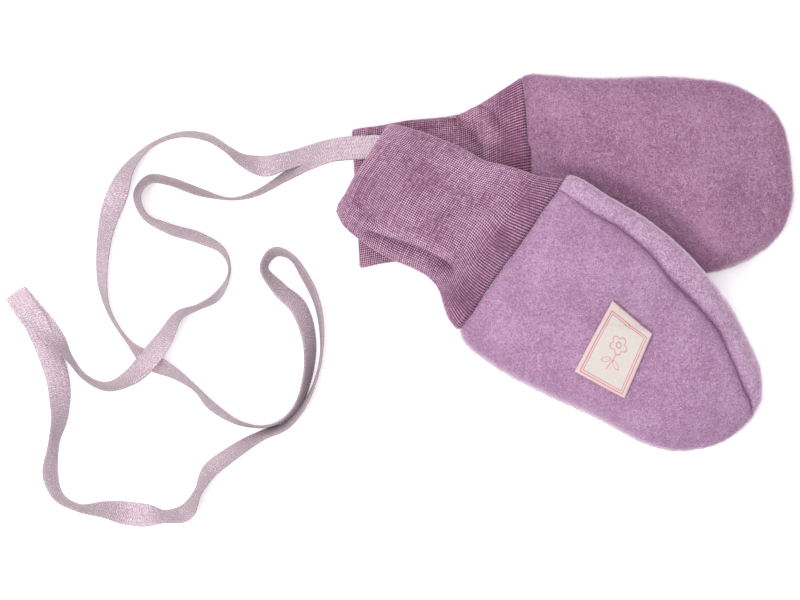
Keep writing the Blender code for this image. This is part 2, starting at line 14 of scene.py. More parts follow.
import bpy
import numpy as np
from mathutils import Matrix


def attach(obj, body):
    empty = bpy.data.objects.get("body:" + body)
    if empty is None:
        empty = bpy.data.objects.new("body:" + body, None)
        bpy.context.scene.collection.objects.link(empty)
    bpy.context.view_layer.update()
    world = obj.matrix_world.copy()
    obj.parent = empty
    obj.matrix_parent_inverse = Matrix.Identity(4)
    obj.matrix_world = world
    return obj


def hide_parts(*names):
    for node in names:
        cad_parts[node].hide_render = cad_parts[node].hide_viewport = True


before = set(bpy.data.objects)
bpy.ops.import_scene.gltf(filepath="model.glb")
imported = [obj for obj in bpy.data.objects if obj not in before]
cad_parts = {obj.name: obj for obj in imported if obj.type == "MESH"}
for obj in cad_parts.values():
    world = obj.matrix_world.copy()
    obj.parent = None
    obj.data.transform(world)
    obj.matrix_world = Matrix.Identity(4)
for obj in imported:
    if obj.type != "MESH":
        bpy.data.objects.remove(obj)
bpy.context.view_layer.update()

MM = 0.001
LOG = logging.getLogger("mittens")

# Sizes shared with the solids.
FLEECE_WALL = 3.0
KNIT_WALL = 2.0
TAPE_WIDTH = 8.2
TAPE_THICK = 1.2
TAPE_CLEAR = 0.45         # air between the tape and the cuff that it lies on
FOLD_RADIUS = 0.9
REST_SLOPE = 0.6          # how steeply cloth falls away from what holds it up
REST_REACH = 4.5
REST_SOFTEN = 4.0
REST_CLEAR = 0.7
PRESSED = 10.5            # height to which the front mitten presses the rear one
PRESS_SLOPE = 0.45
PRESS_RISE = 1.6
PRESS_SOFT = 1.5
ROUND_TOP = 2.2           # powers of a section's outline over and under its widest line
ROUND_UNDER = 3.6
UNDER_FLAT = 1.12
SEAM_UNDER = math.radians(8.0)
CENTRE_X = 0.244          # from the pieces' own layout to the frame's origin
CENTRE_Y = 0.343

RING_STEPS = 360          # angles round a section before it is cut to its columns
TURN = 2.0 * math.pi
WORD = 0xFFFFFFFF
HASH_PRIMES = (73856093, 19349663, 83492791, 265443576)
HASH_MIXERS = (1274126177, 2246822519)

Array = np.ndarray


# Layout

class Rib(NamedTuple):
    """One section of a body or cuff: its two edges, the near seam and three heights."""

    u_up: float
    up: float
    u_lo: float
    lo: float
    seam: float
    low: float
    mid: float
    high: float


class Pole(NamedTuple):
    """The point where a body closes at the fingertips."""

    u: float
    v: float
    z: float


class Bend(NamedTuple):
    """One bend of the tape: its place, the lean of its width from flat and added height."""

    x: float
    y: float
    lean: float
    lift: float = 0.0


class Crease(NamedTuple):
    """A line pressed into a cuff, with a step up or down on its right side."""

    line: tuple[tuple[float, float], ...]
    depth: float
    width: float
    step: float
    reach: float = 7.0


@dataclass(frozen=True)
class Layout:
    """Where a mitten lies on the table and which way its fingertips point."""

    x: float
    y: float
    degrees: float

    def place(self, u: Array, v: Array) -> tuple[Array, Array]:
        """Turns local (u, v) by the angle and moves it to the table place.

        Args:
            u: distances along the mitten.
            v: distances to its left.

        Returns:
            Table x and y.
        """
        c, s = math.cos(math.radians(self.degrees)), math.sin(math.radians(self.degrees))
        return self.x + c * u - s * v, self.y + s * u + c * v

    def local(self, x: Array, y: Array) -> tuple[Array, Array]:
        """Undoes place.

        Args:
            x: table x.
            y: table y.

        Returns:
            Local u and v.
        """
        c, s = math.cos(math.radians(self.degrees)), math.sin(math.radians(self.degrees))
        dx, dy = x - self.x, y - self.y
        return c * dx + s * dy, c * dy - s * dx


UPPER = Layout(-18.9, 0.9, -35.0)
LOWER = Layout(-13.0, 33.1, -7.0)

UPPER_BODY = (
    Rib(0.3, 35.4, 0.3, -31.3, 29.2, 0.0, 6.6, 15.4),
    Rib(7.0, 36.6, 6.0, -33.8, 29.2, 0.0, 7.2, 18.5),
    Rib(15.0, 37.0, 14.5, -34.1, 29.5, 0.0, 7.6, 20.8),
    Rib(24.0, 38.0, 24.0, -33.7, 30.2, 0.0, 7.8, 22.0),
    Rib(32.0, 38.2, 32.0, -32.8, 29.8, 0.0, 8.0, 22.5),
    Rib(40.0, 37.8, 40.0, -31.7, 28.6, 0.0, 8.0, 22.5),
    Rib(49.0, 36.4, 49.0, -29.9, 25.8, 0.0, 8.0, 22.3),
    Rib(58.0, 34.4, 58.0, -28.2, 24.0, 0.0, 8.0, 21.8),
    Rib(66.0, 31.9, 66.0, -27.4, 22.6, 0.0, 7.8, 21.0),
    Rib(74.0, 29.2, 74.0, -26.4, 20.6, 0.0, 7.6, 19.6),
    Rib(82.0, 25.5, 82.0, -24.0, 16.2, 0.0, 7.4, 17.6),
    Rib(87.5, 22.4, 87.5, -20.7, 12.8, 0.0, 7.2, 15.8),
    Rib(91.5, 19.8, 91.5, -17.0, 10.2, 0.4, 7.0, 14.2),
    Rib(94.3, 17.2, 94.3, -14.2, 8.6, 1.0, 7.0, 12.9),
    Rib(96.6, 14.2, 96.6, -10.8, 7.5, 2.0, 7.0, 11.7),
    Rib(98.4, 11.2, 98.4, -7.2, 5.6, 3.3, 7.0, 10.3),
    Rib(99.8, 7.9, 99.8, -2.6, 4.2, 4.9, 7.0, 8.9),
)
UPPER_TIP = Pole(100.5, 3.4, 7.0)

LOWER_BODY = (
    Rib(-5.2, 31.9, 3.3, -31.0, 31.9, 0.0, 6.2, 13.5),
    Rib(2.5, 33.0, 9.0, -32.3, 33.0, 0.0, 6.9, 17.0),
    Rib(12.0, 33.4, 16.0, -33.2, 33.4, 0.0, 7.2, 19.2),
    Rib(23.0, 34.3, 25.0, -33.5, 34.3, 0.0, 7.4, 20.4),
    Rib(34.0, 36.0, 34.0, -33.2, 36.0, 0.0, 7.5, 21.0),
    Rib(44.0, 37.4, 44.0, -32.7, 37.4, 0.0, 7.5, 21.0),
    Rib(54.0, 37.9, 54.0, -31.7, 37.9, 0.0, 7.5, 20.8),
    Rib(63.0, 38.0, 63.0, -30.1, 38.0, 0.0, 7.4, 20.2),
    Rib(70.0, 36.8, 70.0, -28.0, 36.8, 0.0, 7.2, 19.2),
    Rib(76.0, 34.4, 76.0, -25.4, 34.4, 0.0, 7.0, 17.8),
    Rib(80.8, 31.9, 80.8, -22.4, 31.9, 0.0, 6.8, 16.2),
    Rib(84.5, 28.4, 84.5, -19.4, 28.4, 0.3, 6.6, 14.6),
    Rib(87.0, 24.9, 87.0, -16.9, 24.9, 0.8, 6.5, 13.2),
    Rib(89.2, 19.3, 89.2, -14.0, 19.3, 1.6, 6.5, 11.8),
    Rib(91.0, 12.6, 91.0, -10.9, 12.6, 2.8, 6.5, 10.3),
    Rib(92.4, 6.2, 92.4, -6.0, 6.2, 4.4, 6.5, 8.7),
)
LOWER_TIP = Pole(93.1, 0.0, 6.5)
LOWER_BOW = 1.6

UPPER_CUFF = (
    Rib(-61.3, 14.3, -59.2, -21.9, 0.0, 0.0, 5.7, 11.8),
    Rib(-54.0, 17.0, -54.2, -24.0, 0.0, 0.0, 5.9, 12.4),
    Rib(-44.0, 20.0, -44.0, -24.8, 0.0, 0.0, 6.0, 12.8),
    Rib(-35.0, 21.6, -35.0, -24.0, 0.0, 0.0, 6.1, 13.0),
    Rib(-27.0, 22.6, -27.0, -22.4, 0.0, 0.0, 6.1, 13.2),
    Rib(-20.0, 25.4, -20.0, -21.8, 0.0, 0.0, 6.2, 13.4),
    Rib(-14.0, 27.4, -14.5, -23.4, 0.0, 0.0, 6.3, 13.6),
    Rib(-9.5, 28.4, -9.5, -27.2, 0.0, 0.0, 6.4, 13.9),
    Rib(-5.0, 30.4, -5.0, -29.8, 0.0, 0.0, 6.5, 14.2),
    Rib(0.0, 33.4, 0.0, -31.0, 0.0, 0.0, 6.6, 14.6),
)

LOWER_CUFF = (
    Rib(-61.8, 5.4, -53.1, -41.9, 0.0, 0.0, 4.9, 10.0),
    Rib(-52.0, 8.4, -44.0, -39.0, 0.0, 0.0, 5.0, 10.4),
    Rib(-42.0, 11.2, -34.0, -36.8, 0.0, 0.0, 5.1, 10.6),
    Rib(-33.0, 13.3, -25.0, -34.9, 0.0, 0.0, 5.2, 10.8),
    Rib(-25.5, 15.6, -17.5, -33.4, 0.0, 0.0, 5.3, 11.0),
    Rib(-19.0, 20.2, -11.5, -32.4, 0.0, 0.0, 5.4, 11.3),
    Rib(-13.0, 25.2, -6.5, -31.6, 0.0, 0.0, 5.5, 11.6),
    Rib(-8.6, 28.6, -2.0, -31.2, 0.0, 0.0, 5.7, 12.0),
    Rib(-5.62, 30.8, 2.86, -30.8, 0.0, 0.0, 5.9, 12.6),
)

PRESS_LINE = ((-5.0, 8.5), (15.0, -1.0), (51.0, -18.0), (72.0, -36.0))

# Folds of the cuffs, in each cuff's local (u, v).
UPPER_CREASES = (
    Crease(((-47.0, -21.6), (-38.8, -19.1), (-32.9, -17.1), (-25.6, -15.4), (-17.9, -14.7),
            (-13.2, -15.4)), 1.7, 0.8, -1.9, 3.4),
    Crease(((-44.0, -19.0), (-32.0, -13.8), (-17.0, -11.6)), -0.7, 1.8, 0.0),
    Crease(((-50.0, -10.0), (-41.0, -4.0), (-33.0, 5.0)), 0.42, 2.6, 0.2),
    Crease(((-30.0, -4.0), (-22.0, 4.0), (-18.0, 14.0)), 0.45, 2.8, 0.2),
    Crease(((-22.0, -8.0), (-14.0, -6.0), (-6.0, -9.0)), 0.35, 2.0, 0.1),
    Crease(((-56.0, -14.0), (-51.0, -17.0), (-46.0, -17.5)), 0.7, 1.5, 0.3),
)
LOWER_CREASES = (
    Crease(((-29.2, 16.4), (-27.0, 13.9), (-20.1, 8.8), (-17.3, 3.8), (-16.0, -4.0)),
           1.5, 0.8, -1.2, 4.0),
    Crease(((-24.0, 18.0), (-16.5, 13.0), (-12.6, 6.0)), -0.7, 1.8, 0.0),
    Crease(((-21.0, 20.5), (-14.0, 17.0), (-9.0, 10.0)), 0.9, 1.1, -0.3),
    Crease(((-46.0, 7.0), (-36.0, 8.6), (-28.0, 12.0)), 0.6, 2.2, 0.2),
)

LABEL_CORNERS = ((36.5, 8.2), (54.6, 6.6), (59.8, -17.1), (40.2, -19.4))

TAPE_OUT = tuple(Bend(*row) for row in (
    (-60.0, 40.0, 0), (-68.0, 39.8, 0), (-76.0, 39.3, 6), (-84.0, 38.3, 22), (-92.8, 36.6, 42),
    (-99.8, 34.5, 35), (-105.5, 33.3, 28), (-112.7, 35.5, 59), (-118.3, 39.4, 75),
    (-125.5, 43.5, 73), (-134.8, 44.3, 78), (-144.6, 40.6, 80), (-151.9, 33.4, 62),
    (-157.0, 22.6, 22), (-160.8, 9.3, 47), (-161.9, -5.4, 62), (-159.3, -17.7, 80),
    (-152.3, -28.5, 78), (-144.9, -34.8, 40), (-136.5, -39.2, 62), (-129.2, -44.5, 77),
    (-123.2, -50.8, 68), (-113.8, -56.5, 80), (-103.3, -57.4, 90), (-94.4, -51.8, 77),
    (-90.0, -40.4, 69), (-89.4, -27.5, 56), (-92.8, -16.6, 44), (-99.8, -9.6, 53),
    (-105.2, -2.6, 72), (-101.8, 3.1, 67), (-95.6, 1.4, 77), (-90.6, -6.0, 71), (-86.6, -14.9, 75),
    (-85.0, -25.7, 82), (-85.9, -36.9, 90), (-90.1, -48.1, 82), (-97.0, -56.8, 73),
    (-106.1, -60.8, 67), (-115.5, -66.2, 53), (-124.0, -72.8, 48), (-128.5, -80.7, 70),
    (-132.7, -87.6, 45), (-140.7, -89.1, 58), (-149.8, -88.5, 6), (-160.0, -86.8, 43),
    (-169.8, -86.1, 75), (-177.1, -82.0, 67), (-179.9, -74.0, 52), (-178.6, -63.5, 66),
    (-176.6, -53.5, 44), (-177.3, -42.5, 14, 0.2), (-180.5, -31.5, 0, 1.2), (-185.3, -21.0, 0, 1.8),
))
TAPE_BACK = tuple(Bend(*row) for row in (
    (-184.3, -20.2, 6), (-178.6, -27.2, 34), (-173.8, -33.3, 74), (-168.0, -40.4, 80),
    (-160.3, -43.8, 70), (-152.3, -40.6, 48, 1.5), (-145.1, -34.0, 30, 6.4),
    (-139.3, -25.7, 46, 2.0), (-135.0, -18.9, 66), (-128.5, -16.1, 77), (-121.5, -12.1, 70),
    (-117.4, -3.7, 88), (-119.8, 3.9, 75), (-127.8, 8.2, 63), (-138.3, 11.4, 65),
    (-146.7, 15.8, 75), (-149.5, 23.3, 70), (-145.3, 28.7, 68), (-137.9, 27.8, 71),
    (-127.8, 24.2, 72), (-117.3, 21.8, 88), (-108.2, 23.6, 77), (-98.4, 29.2, 67),
    (-90.0, 34.5, 50, 1.6), (-81.5, 38.4, 22, 3.0), (-74.0, 39.4, 4, 2.2), (-67.0, 39.8, 0, 1.6),
    (-60.8, 39.8, 0, 1.6),
))
FOLD_AT = (-191.6, -11.9)


# Numbers on grids

def signed_power(value: Array, power: Array | float) -> Array:
    """The value's size raised to a power, with its sign kept."""
    return np.sign(value) * np.abs(value) ** power


def bell(distance: Array, width: float) -> Array:
    """A smooth bump of height 1 at distance 0: exp(-(distance / width) squared)."""
    return np.exp(-(distance / width) ** 2)


def smooth_step(value: Array, low: float, high: float) -> Array:
    """Rises from 0 at low to 1 at high along 3t^2 - 2t^3."""
    t = np.clip((value - low) / (high - low), 0.0, 1.0)
    return t * t * (3.0 - 2.0 * t)


def unit(vectors: Array) -> Array:
    """Vectors scaled to length 1."""
    return vectors / np.maximum(np.linalg.norm(vectors, axis=-1, keepdims=True), 1e-9)


def run_length(points: Array, axis: int = 0) -> Array:
    """Distance walked along one axis of a row or grid of points, starting at 0."""
    steps = np.linalg.norm(np.diff(points, axis=axis), axis=-1)
    start = np.zeros_like(np.take(steps, [0], axis=axis))
    return np.concatenate([start, np.cumsum(steps, axis=axis)], axis=axis)


def resample(ring: Array, run: Array, want: Array) -> Array:
    """The points of a row at wanted distances along it, straight between its own points."""
    return np.stack([np.interp(want, run, column) for column in ring.T], 1)


def lattice(ix: Array, iy: Array, iz: Array, seed: int) -> Array:
    """A fixed random number from -1 to 1 at each whole-number place.

    Args:
        ix: whole numbers along x.
        iy: whole numbers along y.
        iz: whole numbers along z.
        seed: which field.

    Returns:
        The numbers.
    """
    a, b, c, d = HASH_PRIMES
    h = ((ix * a) ^ (iy * b) ^ (iz * c) ^ (seed * d)) & WORD
    h = ((h ^ (h >> 13)) * HASH_MIXERS[0]) & WORD
    h = ((h ^ (h >> 16)) * HASH_MIXERS[1]) & WORD
    return (h ^ (h >> 15)) / float(WORD) * 2.0 - 1.0


def noise(points: Array, cell: float, seed: int) -> Array:
    """Smooth noise from -1 to 1: lattice values mixed by 3t^2 - 2t^3 along each axis.

    Args:
        points: places, (..., 3).
        cell: size of its lumps.
        seed: which field.

    Returns:
        One value a place.
    """
    p = points / cell
    whole = np.floor(p)
    f = p - whole
    f = f * f * (3.0 - 2.0 * f)
    i = whole.astype(np.int64)
    total = np.zeros(points.shape[:-1])
    for dx, dy, dz in product((0, 1), repeat=3):
        weight = ((f[..., 0] if dx else 1 - f[..., 0]) * (f[..., 1] if dy else 1 - f[..., 1])
                  * (f[..., 2] if dz else 1 - f[..., 2]))
        total += weight * lattice(i[..., 0] + dx, i[..., 1] + dy, i[..., 2] + dz, seed)
    return total


class Layer(NamedTuple):
    """One layer of noise: its height, the size of its lumps and which field it is."""

    height: float
    cell: float
    number: int


def layered(points: Array, layers: Sequence[Layer], seed: int) -> Array:
    """The sum of some layers of noise."""
    return sum(layer.height * noise(points, layer.cell, seed + layer.number) for layer in layers)


def spline(rows: Array, at: Array) -> Array:
    """A cardinal spline through rows 1 to n-2 of a padded table.

    Args:
        rows: the table, with one pad row at each end.
        at: where to read it, from 0 at row 1.

    Returns:
        One row of columns for each place.
    """
    i = np.clip(np.floor(at).astype(int), 0, len(rows) - 4)
    t = (at - i)[:, None]
    p0, p1, p2, p3 = rows[i], rows[i + 1], rows[i + 2], rows[i + 3]
    return 0.5 * (2 * p1 + (p2 - p0) * t + (2 * p0 - 5 * p1 + 4 * p2 - p3) * t * t
                  + (3 * p1 - p0 - 3 * p2 + p3) * t ** 3)


def grid_normals(grid: Array, closed: bool = False) -> Array:
    """Normals of a grid: the cross product of its steps across and along.

    Args:
        grid: points, (rows, columns, 3).
        closed: whether the columns go all round.

    Returns:
        Unit normals of the same shape.
    """
    along = np.gradient(grid, axis=0)
    if closed:
        across = np.roll(grid, -1, axis=1) - np.roll(grid, 1, axis=1)
    else:
        across = np.gradient(grid, axis=1)
    return unit(np.cross(across, along))


# Meshes

def shell_faces(rows: int, columns: int, poles: bool) -> tuple[Array, Array]:
    """Faces of a closed wall of two grids of one shape, the outer one first.

    Args:
        rows: rows of each grid.
        columns: columns of each grid.
        poles: whether the last row closes in an outer and an inner pole.

    Returns:
        Quads and triangles, as rows of vertex numbers.
    """
    count = rows * columns
    index = np.arange(count).reshape(rows, columns)
    a, b = index[:-1, :-1].ravel(), index[:-1, 1:].ravel()
    c, d = index[1:, 1:].ravel(), index[1:, :-1].ravel()

    def rim(edge: Array, flipped: bool) -> Array:
        """Quads from an edge of the outer grid to the same edge of the inner one."""
        strip = np.stack([edge[:-1], edge[1:], edge[1:] + count, edge[:-1] + count], 1)
        return strip[:, [0, 3, 2, 1]] if flipped else strip

    end = index[-1]
    quads = [np.stack([a, b, c, d], 1), np.stack([a, d, c, b], 1) + count,
             rim(index[:, 0], False), rim(index[:, -1], True), rim(index[0], True)]
    if not poles:
        quads.append(rim(end, False))
        return np.vstack(quads), np.zeros((0, 3), int)
    crown, root = 2 * count, 2 * count + 1
    fill = np.full(columns - 1, crown)
    tris = [np.stack([end[:-1], end[1:], fill], 1),
            np.stack([end[1:] + count, end[:-1] + count, fill + 1], 1)]
    quads.append(np.array([[end[0], crown, root, end[0] + count],
                           [end[-1], end[-1] + count, root, crown]]))
    return np.vstack(quads), np.vstack(tris)


def ring_faces(rows: int, columns: int, join_rows: bool) -> Array:
    """Quads of a grid whose columns go all round, and whose rows may as well.

    Args:
        rows: rows of the grid.
        columns: columns of the grid.
        join_rows: whether the last row joins the first.

    Returns:
        Quads as rows of vertex numbers.
    """
    index = np.arange(rows * columns).reshape(rows, columns)
    ahead = np.roll(index, -1, axis=1)
    low, high = (index, np.roll(index, -1, axis=0)) if join_rows else (index[:-1], index[1:])
    low_b = ahead if join_rows else ahead[:-1]
    high_b = np.roll(ahead, -1, axis=0) if join_rows else ahead[1:]
    return np.stack([low.ravel(), low_b.ravel(), high_b.ravel(), high.ravel()], 1)


def in_frame(points: Array) -> Array:
    """Places in the frame's own metres."""
    return (points + np.array([CENTRE_X, CENTRE_Y, 0.0])) * MM


def enclosed(points: Array, quads: Array, tris: Array) -> float:
    """Signed volume inside faces, by the sum of each triangle's triple product."""
    parts = [tris] if len(tris) else []
    if len(quads):
        parts += [quads[:, [0, 1, 2]], quads[:, [0, 2, 3]]]
    t = points[np.vstack(parts)]
    return float(np.einsum("ij,ij->i", t[:, 0], np.cross(t[:, 1], t[:, 2])).sum() / 6.0)


def write_piece(name: str, points: Array, quads: Array, tris: Array, uv: Array,
                tones: dict[str, Array], material: bpy.types.Material,
                smooth: bool = True, period: float = 0.0) -> bpy.types.Object:
    """Makes an object from arrays, faces outward, with a UV map and point values.

    Args:
        name: the piece's name.
        points: places in millimetres in the layout's own frame.
        quads: four-sided faces.
        tris: three-sided faces.
        uv: one pair a point.
        tones: named values, one a point, or one colour a point.
        material: the finish.
        smooth: whether it is shaded smooth.
        period: where the second UV coordinate starts again, on a closed ring of quads.

    Returns:
        The object, at the origin.
    """
    if enclosed(points, quads, tris) < 0.0:
        quads, tris = quads[:, ::-1], tris[:, ::-1]
    mesh = bpy.data.meshes.new(name)
    loops = np.concatenate([quads.ravel(), tris.ravel()]).astype(np.int32)
    sizes = np.concatenate([np.full(len(quads), 4), np.full(len(tris), 3)]).astype(np.int32)
    starts = np.concatenate([[0], np.cumsum(sizes)[:-1]]).astype(np.int32)
    mesh.vertices.add(len(points))
    mesh.vertices.foreach_set("co", in_frame(points).astype(np.float32).ravel())
    mesh.loops.add(len(loops))
    mesh.loops.foreach_set("vertex_index", loops)
    mesh.polygons.add(len(sizes))
    mesh.polygons.foreach_set("loop_start", starts)
    mesh.polygons.foreach_set("use_smooth", np.full(len(sizes), smooth))
    layer = mesh.uv_layers.new(name="UVMap")
    placed_uv = uv[loops].astype(np.float32)
    if period:
        around = placed_uv[:4 * len(quads), 1].reshape(-1, 4)
        torn = (around.max(1) - around.min(1) > 0.5 * period)[:, None] & (around < 0.5 * period)
        around[torn] += period
    layer.data.foreach_set("uv", placed_uv.ravel())
    for key, values in tones.items():
        kind = "FLOAT" if values.ndim == 1 else "FLOAT_COLOR"
        store = mesh.attributes.new(key, kind, "POINT")
        store.data.foreach_set("value" if values.ndim == 1 else "color",
                               values.astype(np.float32).ravel())
    mesh.update(calc_edges=True)
    mesh.validate()
    mesh.materials.append(material)
    piece = bpy.data.objects.new(name, mesh)
    bpy.context.scene.collection.objects.link(piece)
    LOG.info("%s has %d triangles", name, 2 * len(quads) + len(tris))
    return piece


# Shader nodes

def operator(kind: str, swapped: bool = False) -> Callable[..., "Value"]:
    """Makes a method that adds one Math node.

    Args:
        kind: the node's operation.
        swapped: whether the other value comes first, as in 1 - mask.

    Returns:
        The method.
    """
    def method(value: "Value", other: object = 0.0) -> "Value":
        """Adds the node to the value's own tree."""
        first, second = (other, value) if swapped else (value, other)
        return value.nodes.add("ShaderNodeMath", {"operation": kind}, {0: first, 1: second})

    return method


class Value:
    """A node socket whose operators add Math nodes."""

    __add__, __radd__ = operator("ADD"), operator("ADD", True)
    __sub__, __rsub__ = operator("SUBTRACT"), operator("SUBTRACT", True)
    __mul__, __rmul__ = operator("MULTIPLY"), operator("MULTIPLY", True)
    __pow__ = operator("POWER")
    fraction, size, sine = operator("FRACT"), operator("ABSOLUTE"), operator("SINE")
    at_least = operator("MAXIMUM")

    def __init__(self, nodes: "Nodes", socket: bpy.types.NodeSocket) -> None:
        """Keeps the socket and the tree that it is in."""
        self.nodes, self.socket = nodes, socket

    def wave(self) -> "Value":
        """A sine of one turn for each unit of the value, from 0 to 1."""
        return (self * TURN).sine() * 0.5 + 0.5


class Nodes:
    """A material's node tree, with one method for every node."""

    def __init__(self, name: str) -> None:
        """Makes a material with its Principled shader."""
        self.material = bpy.data.materials.new(name)
        self.material.use_nodes = True
        self.tree = self.material.node_tree
        self.shader = self.tree.nodes["Principled BSDF"]

    def add(self, kind: str, settings: Optional[dict] = None, inputs: Optional[dict] = None,
            output: object = 0) -> Value:
        """Adds a node of any type.

        Args:
            kind: the node's type.
            settings: its own settings; stops is a ramp's list of (place, colour).
            inputs: values or links for its sockets, by name or number.
            output: which output to give back.

        Returns:
            The output as a Value.
        """
        node = self.tree.nodes.new(kind)
        for key, value in (settings or {}).items():
            if key == "stops":
                ramp = node.color_ramp
                while len(ramp.elements) < len(value):
                    ramp.elements.new(0.5)
                for element, (place, colour) in zip(ramp.elements, value):
                    element.position, element.color = place, colour
            else:
                setattr(node, key, value)
        for key, value in (inputs or {}).items():
            self.feed(node.inputs[key], value)
        return Value(self, node.outputs[output])

    def feed(self, socket: bpy.types.NodeSocket, value: object) -> None:
        """Links a Value to a socket, or sets the socket's own number or colour."""
        if isinstance(value, Value):
            self.tree.links.new(value.socket, socket)
        else:
            socket.default_value = value

    def mix(self, factor: object, a: object, b: object) -> Value:
        """Mixes two colours by a factor."""
        node = self.tree.nodes.new("ShaderNodeMix")
        node.data_type = "RGBA"
        self.feed(node.inputs[0], factor)
        self.feed(node.inputs[6], a)
        self.feed(node.inputs[7], b)
        return Value(self, node.outputs[2])

    def uv(self) -> tuple[Value, Value]:
        """The two UV coordinates."""
        both = self.add("ShaderNodeUVMap", {"uv_map": "UVMap"})
        split = self.add("ShaderNodeSeparateXYZ", inputs={0: both})
        return split, Value(self, split.socket.node.outputs[1])

    def tone(self, name: str) -> Value:
        """A point value of the mesh."""
        return self.add("ShaderNodeAttribute", {"attribute_name": name}, output="Fac")

    def colour(self, name: str) -> Value:
        """A point colour of the mesh."""
        return self.add("ShaderNodeAttribute", {"attribute_name": name}, output="Color")

    def noise(self, scale: float, detail: float, rough: float) -> Value:
        """Noise from 0 to 1 on object coordinates."""
        return self.add("ShaderNodeTexNoise", None, {
            "Vector": self.add("ShaderNodeTexCoord", output="Object"), "Scale": scale,
            "Detail": detail, "Roughness": rough}, "Fac")

    def band(self, place: Value) -> Value:
        """Noise from 0 to 1 along one coordinate."""
        return self.add("ShaderNodeTexNoise", {"noise_dimensions": "1D"}, {
            "W": place, "Scale": 1.0, "Detail": 2.0, "Roughness": 0.6}, "Fac")

    def bump(self, height: Value, strength: float, distance: float,
             under: Optional[Value] = None) -> Value:
        """A Bump node on a height, over another bump if given."""
        inputs: dict = {"Height": height, "Strength": strength, "Distance": distance}
        if under is not None:
            inputs["Normal"] = under
        return self.add("ShaderNodeBump", None, inputs)

    def finish(self, base: object, roughness: object, normal: Optional[Value] = None,
               **constants: object) -> bpy.types.Material:
        """Sets the shader.

        Args:
            base: base colour, or its link.
            roughness: roughness, or its link.
            normal: a bump, if any.
            constants: other sockets' own numbers, with _ for a space.

        Returns:
            The material.
        """
        self.feed(self.shader.inputs["Base Color"], base)
        self.feed(self.shader.inputs["Roughness"], roughness)
        if normal is not None:
            self.feed(self.shader.inputs["Normal"], normal)
        for key, value in constants.items():
            self.shader.inputs[key.replace("_", " ")].default_value = value
        return self.material


Colour = tuple[float, float, float, float]


@dataclass(frozen=True)
class FleeceFinish:
    """Brushed wool fleece: mottled mauve, felted, with a pale sheen at grazing angles and a painted
    highlight on its edge-on rims.
    """

    name: str
    dark: Colour
    light: Colour
    pale: Colour
    # rim: the painted highlight colour laid on walls turned edge-on
    rim: Colour = (0.860, 0.770, 0.850, 1.0)
    sheen: float = 1.0

    def material(self) -> bpy.types.Material:
        """Mottled colour from noises of four sizes, fine felt bump and a sheen, with a painted
        highlight on edge-on walls and painted shade in the seams, brought in by the tone and the
        rim.

        Returns:
            The material.
        """
        n = Nodes(self.name)
        fine = n.noise(2300.0, 2.0, 0.6)
        felt = n.noise(1000.0, 3.0, 0.7)
        curl = n.noise(420.0, 3.0, 0.6)
        cloud = n.noise(70.0, 2.0, 0.5)
        pits = (0.44 - felt).at_least(0.0) * 2.0 + (0.46 - fine).at_least(0.0) * 6.0
        mottle = (felt - 0.5) * 1.8 + (curl - 0.5) * 0.9 + (fine - 0.5) * 2.4 - pits
        # The tone carries painted shade along the seams, a painted highlight on edge-on walls and
        # painted light over a whole panel, besides random clouds.
        tone = n.tone("tone")
        base = n.mix(0.76 + mottle + (cloud - 0.5) * 1.3 + tone, self.dark, self.light)
        base = n.mix((mottle + tone * 0.9 - 0.25) * 1.6, base, self.pale)
        # Painted highlight: the rim colour where walls turn edge-on.
        base = n.mix(n.tone("rim") * 0.75, base, self.rim)
        bump = n.bump(curl, 0.5, 0.0011)
        bump = n.bump(felt, 0.6, 0.0006, bump)
        return n.finish(base, 0.95, bump, Sheen_Weight=self.sheen, Sheen_Roughness=0.27,
                        Sheen_Tint=(0.95, 0.76, 0.90, 1.0), Specular_IOR_Level=0.15)


@dataclass(frozen=True)
class NapFinish:
    """The loose fibres of the fleece, each with its own shade."""

    name: str
    dark: Colour
    light: Colour

    def material(self) -> bpy.types.Material:
        """A shade for each fibre from its own tone.

        Returns:
            The material.
        """
        n = Nodes(self.name)
        base = n.mix(n.tone("tone"), self.dark, self.light)
        return n.finish(base, 0.9, Specular_IOR_Level=0.15, Sheen_Weight=0.2)


@dataclass(frozen=True)
class KnitFinish:
    """Fine rib knit: dark between the ribs, painted shade over the modelled ribs, small stitches
    along them, uneven yarn.
    """

    name: str
    valley: Colour
    rib: Colour
    bright: Colour
    stitch: float = 1.32

    def material(self) -> bpy.types.Material:
        """Shade by the rib's height and the stitch along it, with pale rows and ribs that come
        and go as the yarn thickens.

        Returns:
            The material.
        """
        n = Nodes(self.name)
        along, around = n.uv()
        rib = n.tone("rib")
        stretch = n.tone("stretch")
        worn = n.noise(900.0, 3.0, 0.6)
        cloud = n.noise(110.0, 3.0, 0.55)
        slant = (around.fraction() - 0.5).size() * 0.5
        stitch = (along * self.stitch + slant).wave()
        row = n.band(along * (self.stitch * 0.9))
        line = n.band(around * 0.8 + 31.0)
        yarn = (row - 0.5) * 0.6 + (line - 0.5) * 0.3 + (worn - 0.5) * 1.2
        patch = cloud - 0.5
        crisp = (0.9 + patch * 3.2).at_least(0.4)
        loops = stitch * (1.0 - stretch * 0.7) + stretch * 0.45
        weave = (rib * 0.85 + loops * 0.75 - 0.80) * (crisp + stretch * 0.35)
        tone = n.tone("tone")
        # Painted shade and highlight over the modelled ribs: the valley colour darkens the rib
        # valleys, the bright colour lights the tops of the ribs and stitches.
        base = n.mix(0.62 + weave + yarn * 0.6 + patch * 0.3 + tone, self.valley, self.rib)
        base = n.mix((weave + yarn + tone * 0.5 - stretch * 0.30 - 0.02) * 1.3, base,
                     self.bright)
        bump = n.bump(stitch * rib, 0.7, 0.0004)
        bump = n.bump(worn, 0.35, 0.0003, bump)
        return n.finish(base, 0.88, bump, Sheen_Weight=0.3, Sheen_Roughness=0.5,
                        Specular_IOR_Level=0.25)


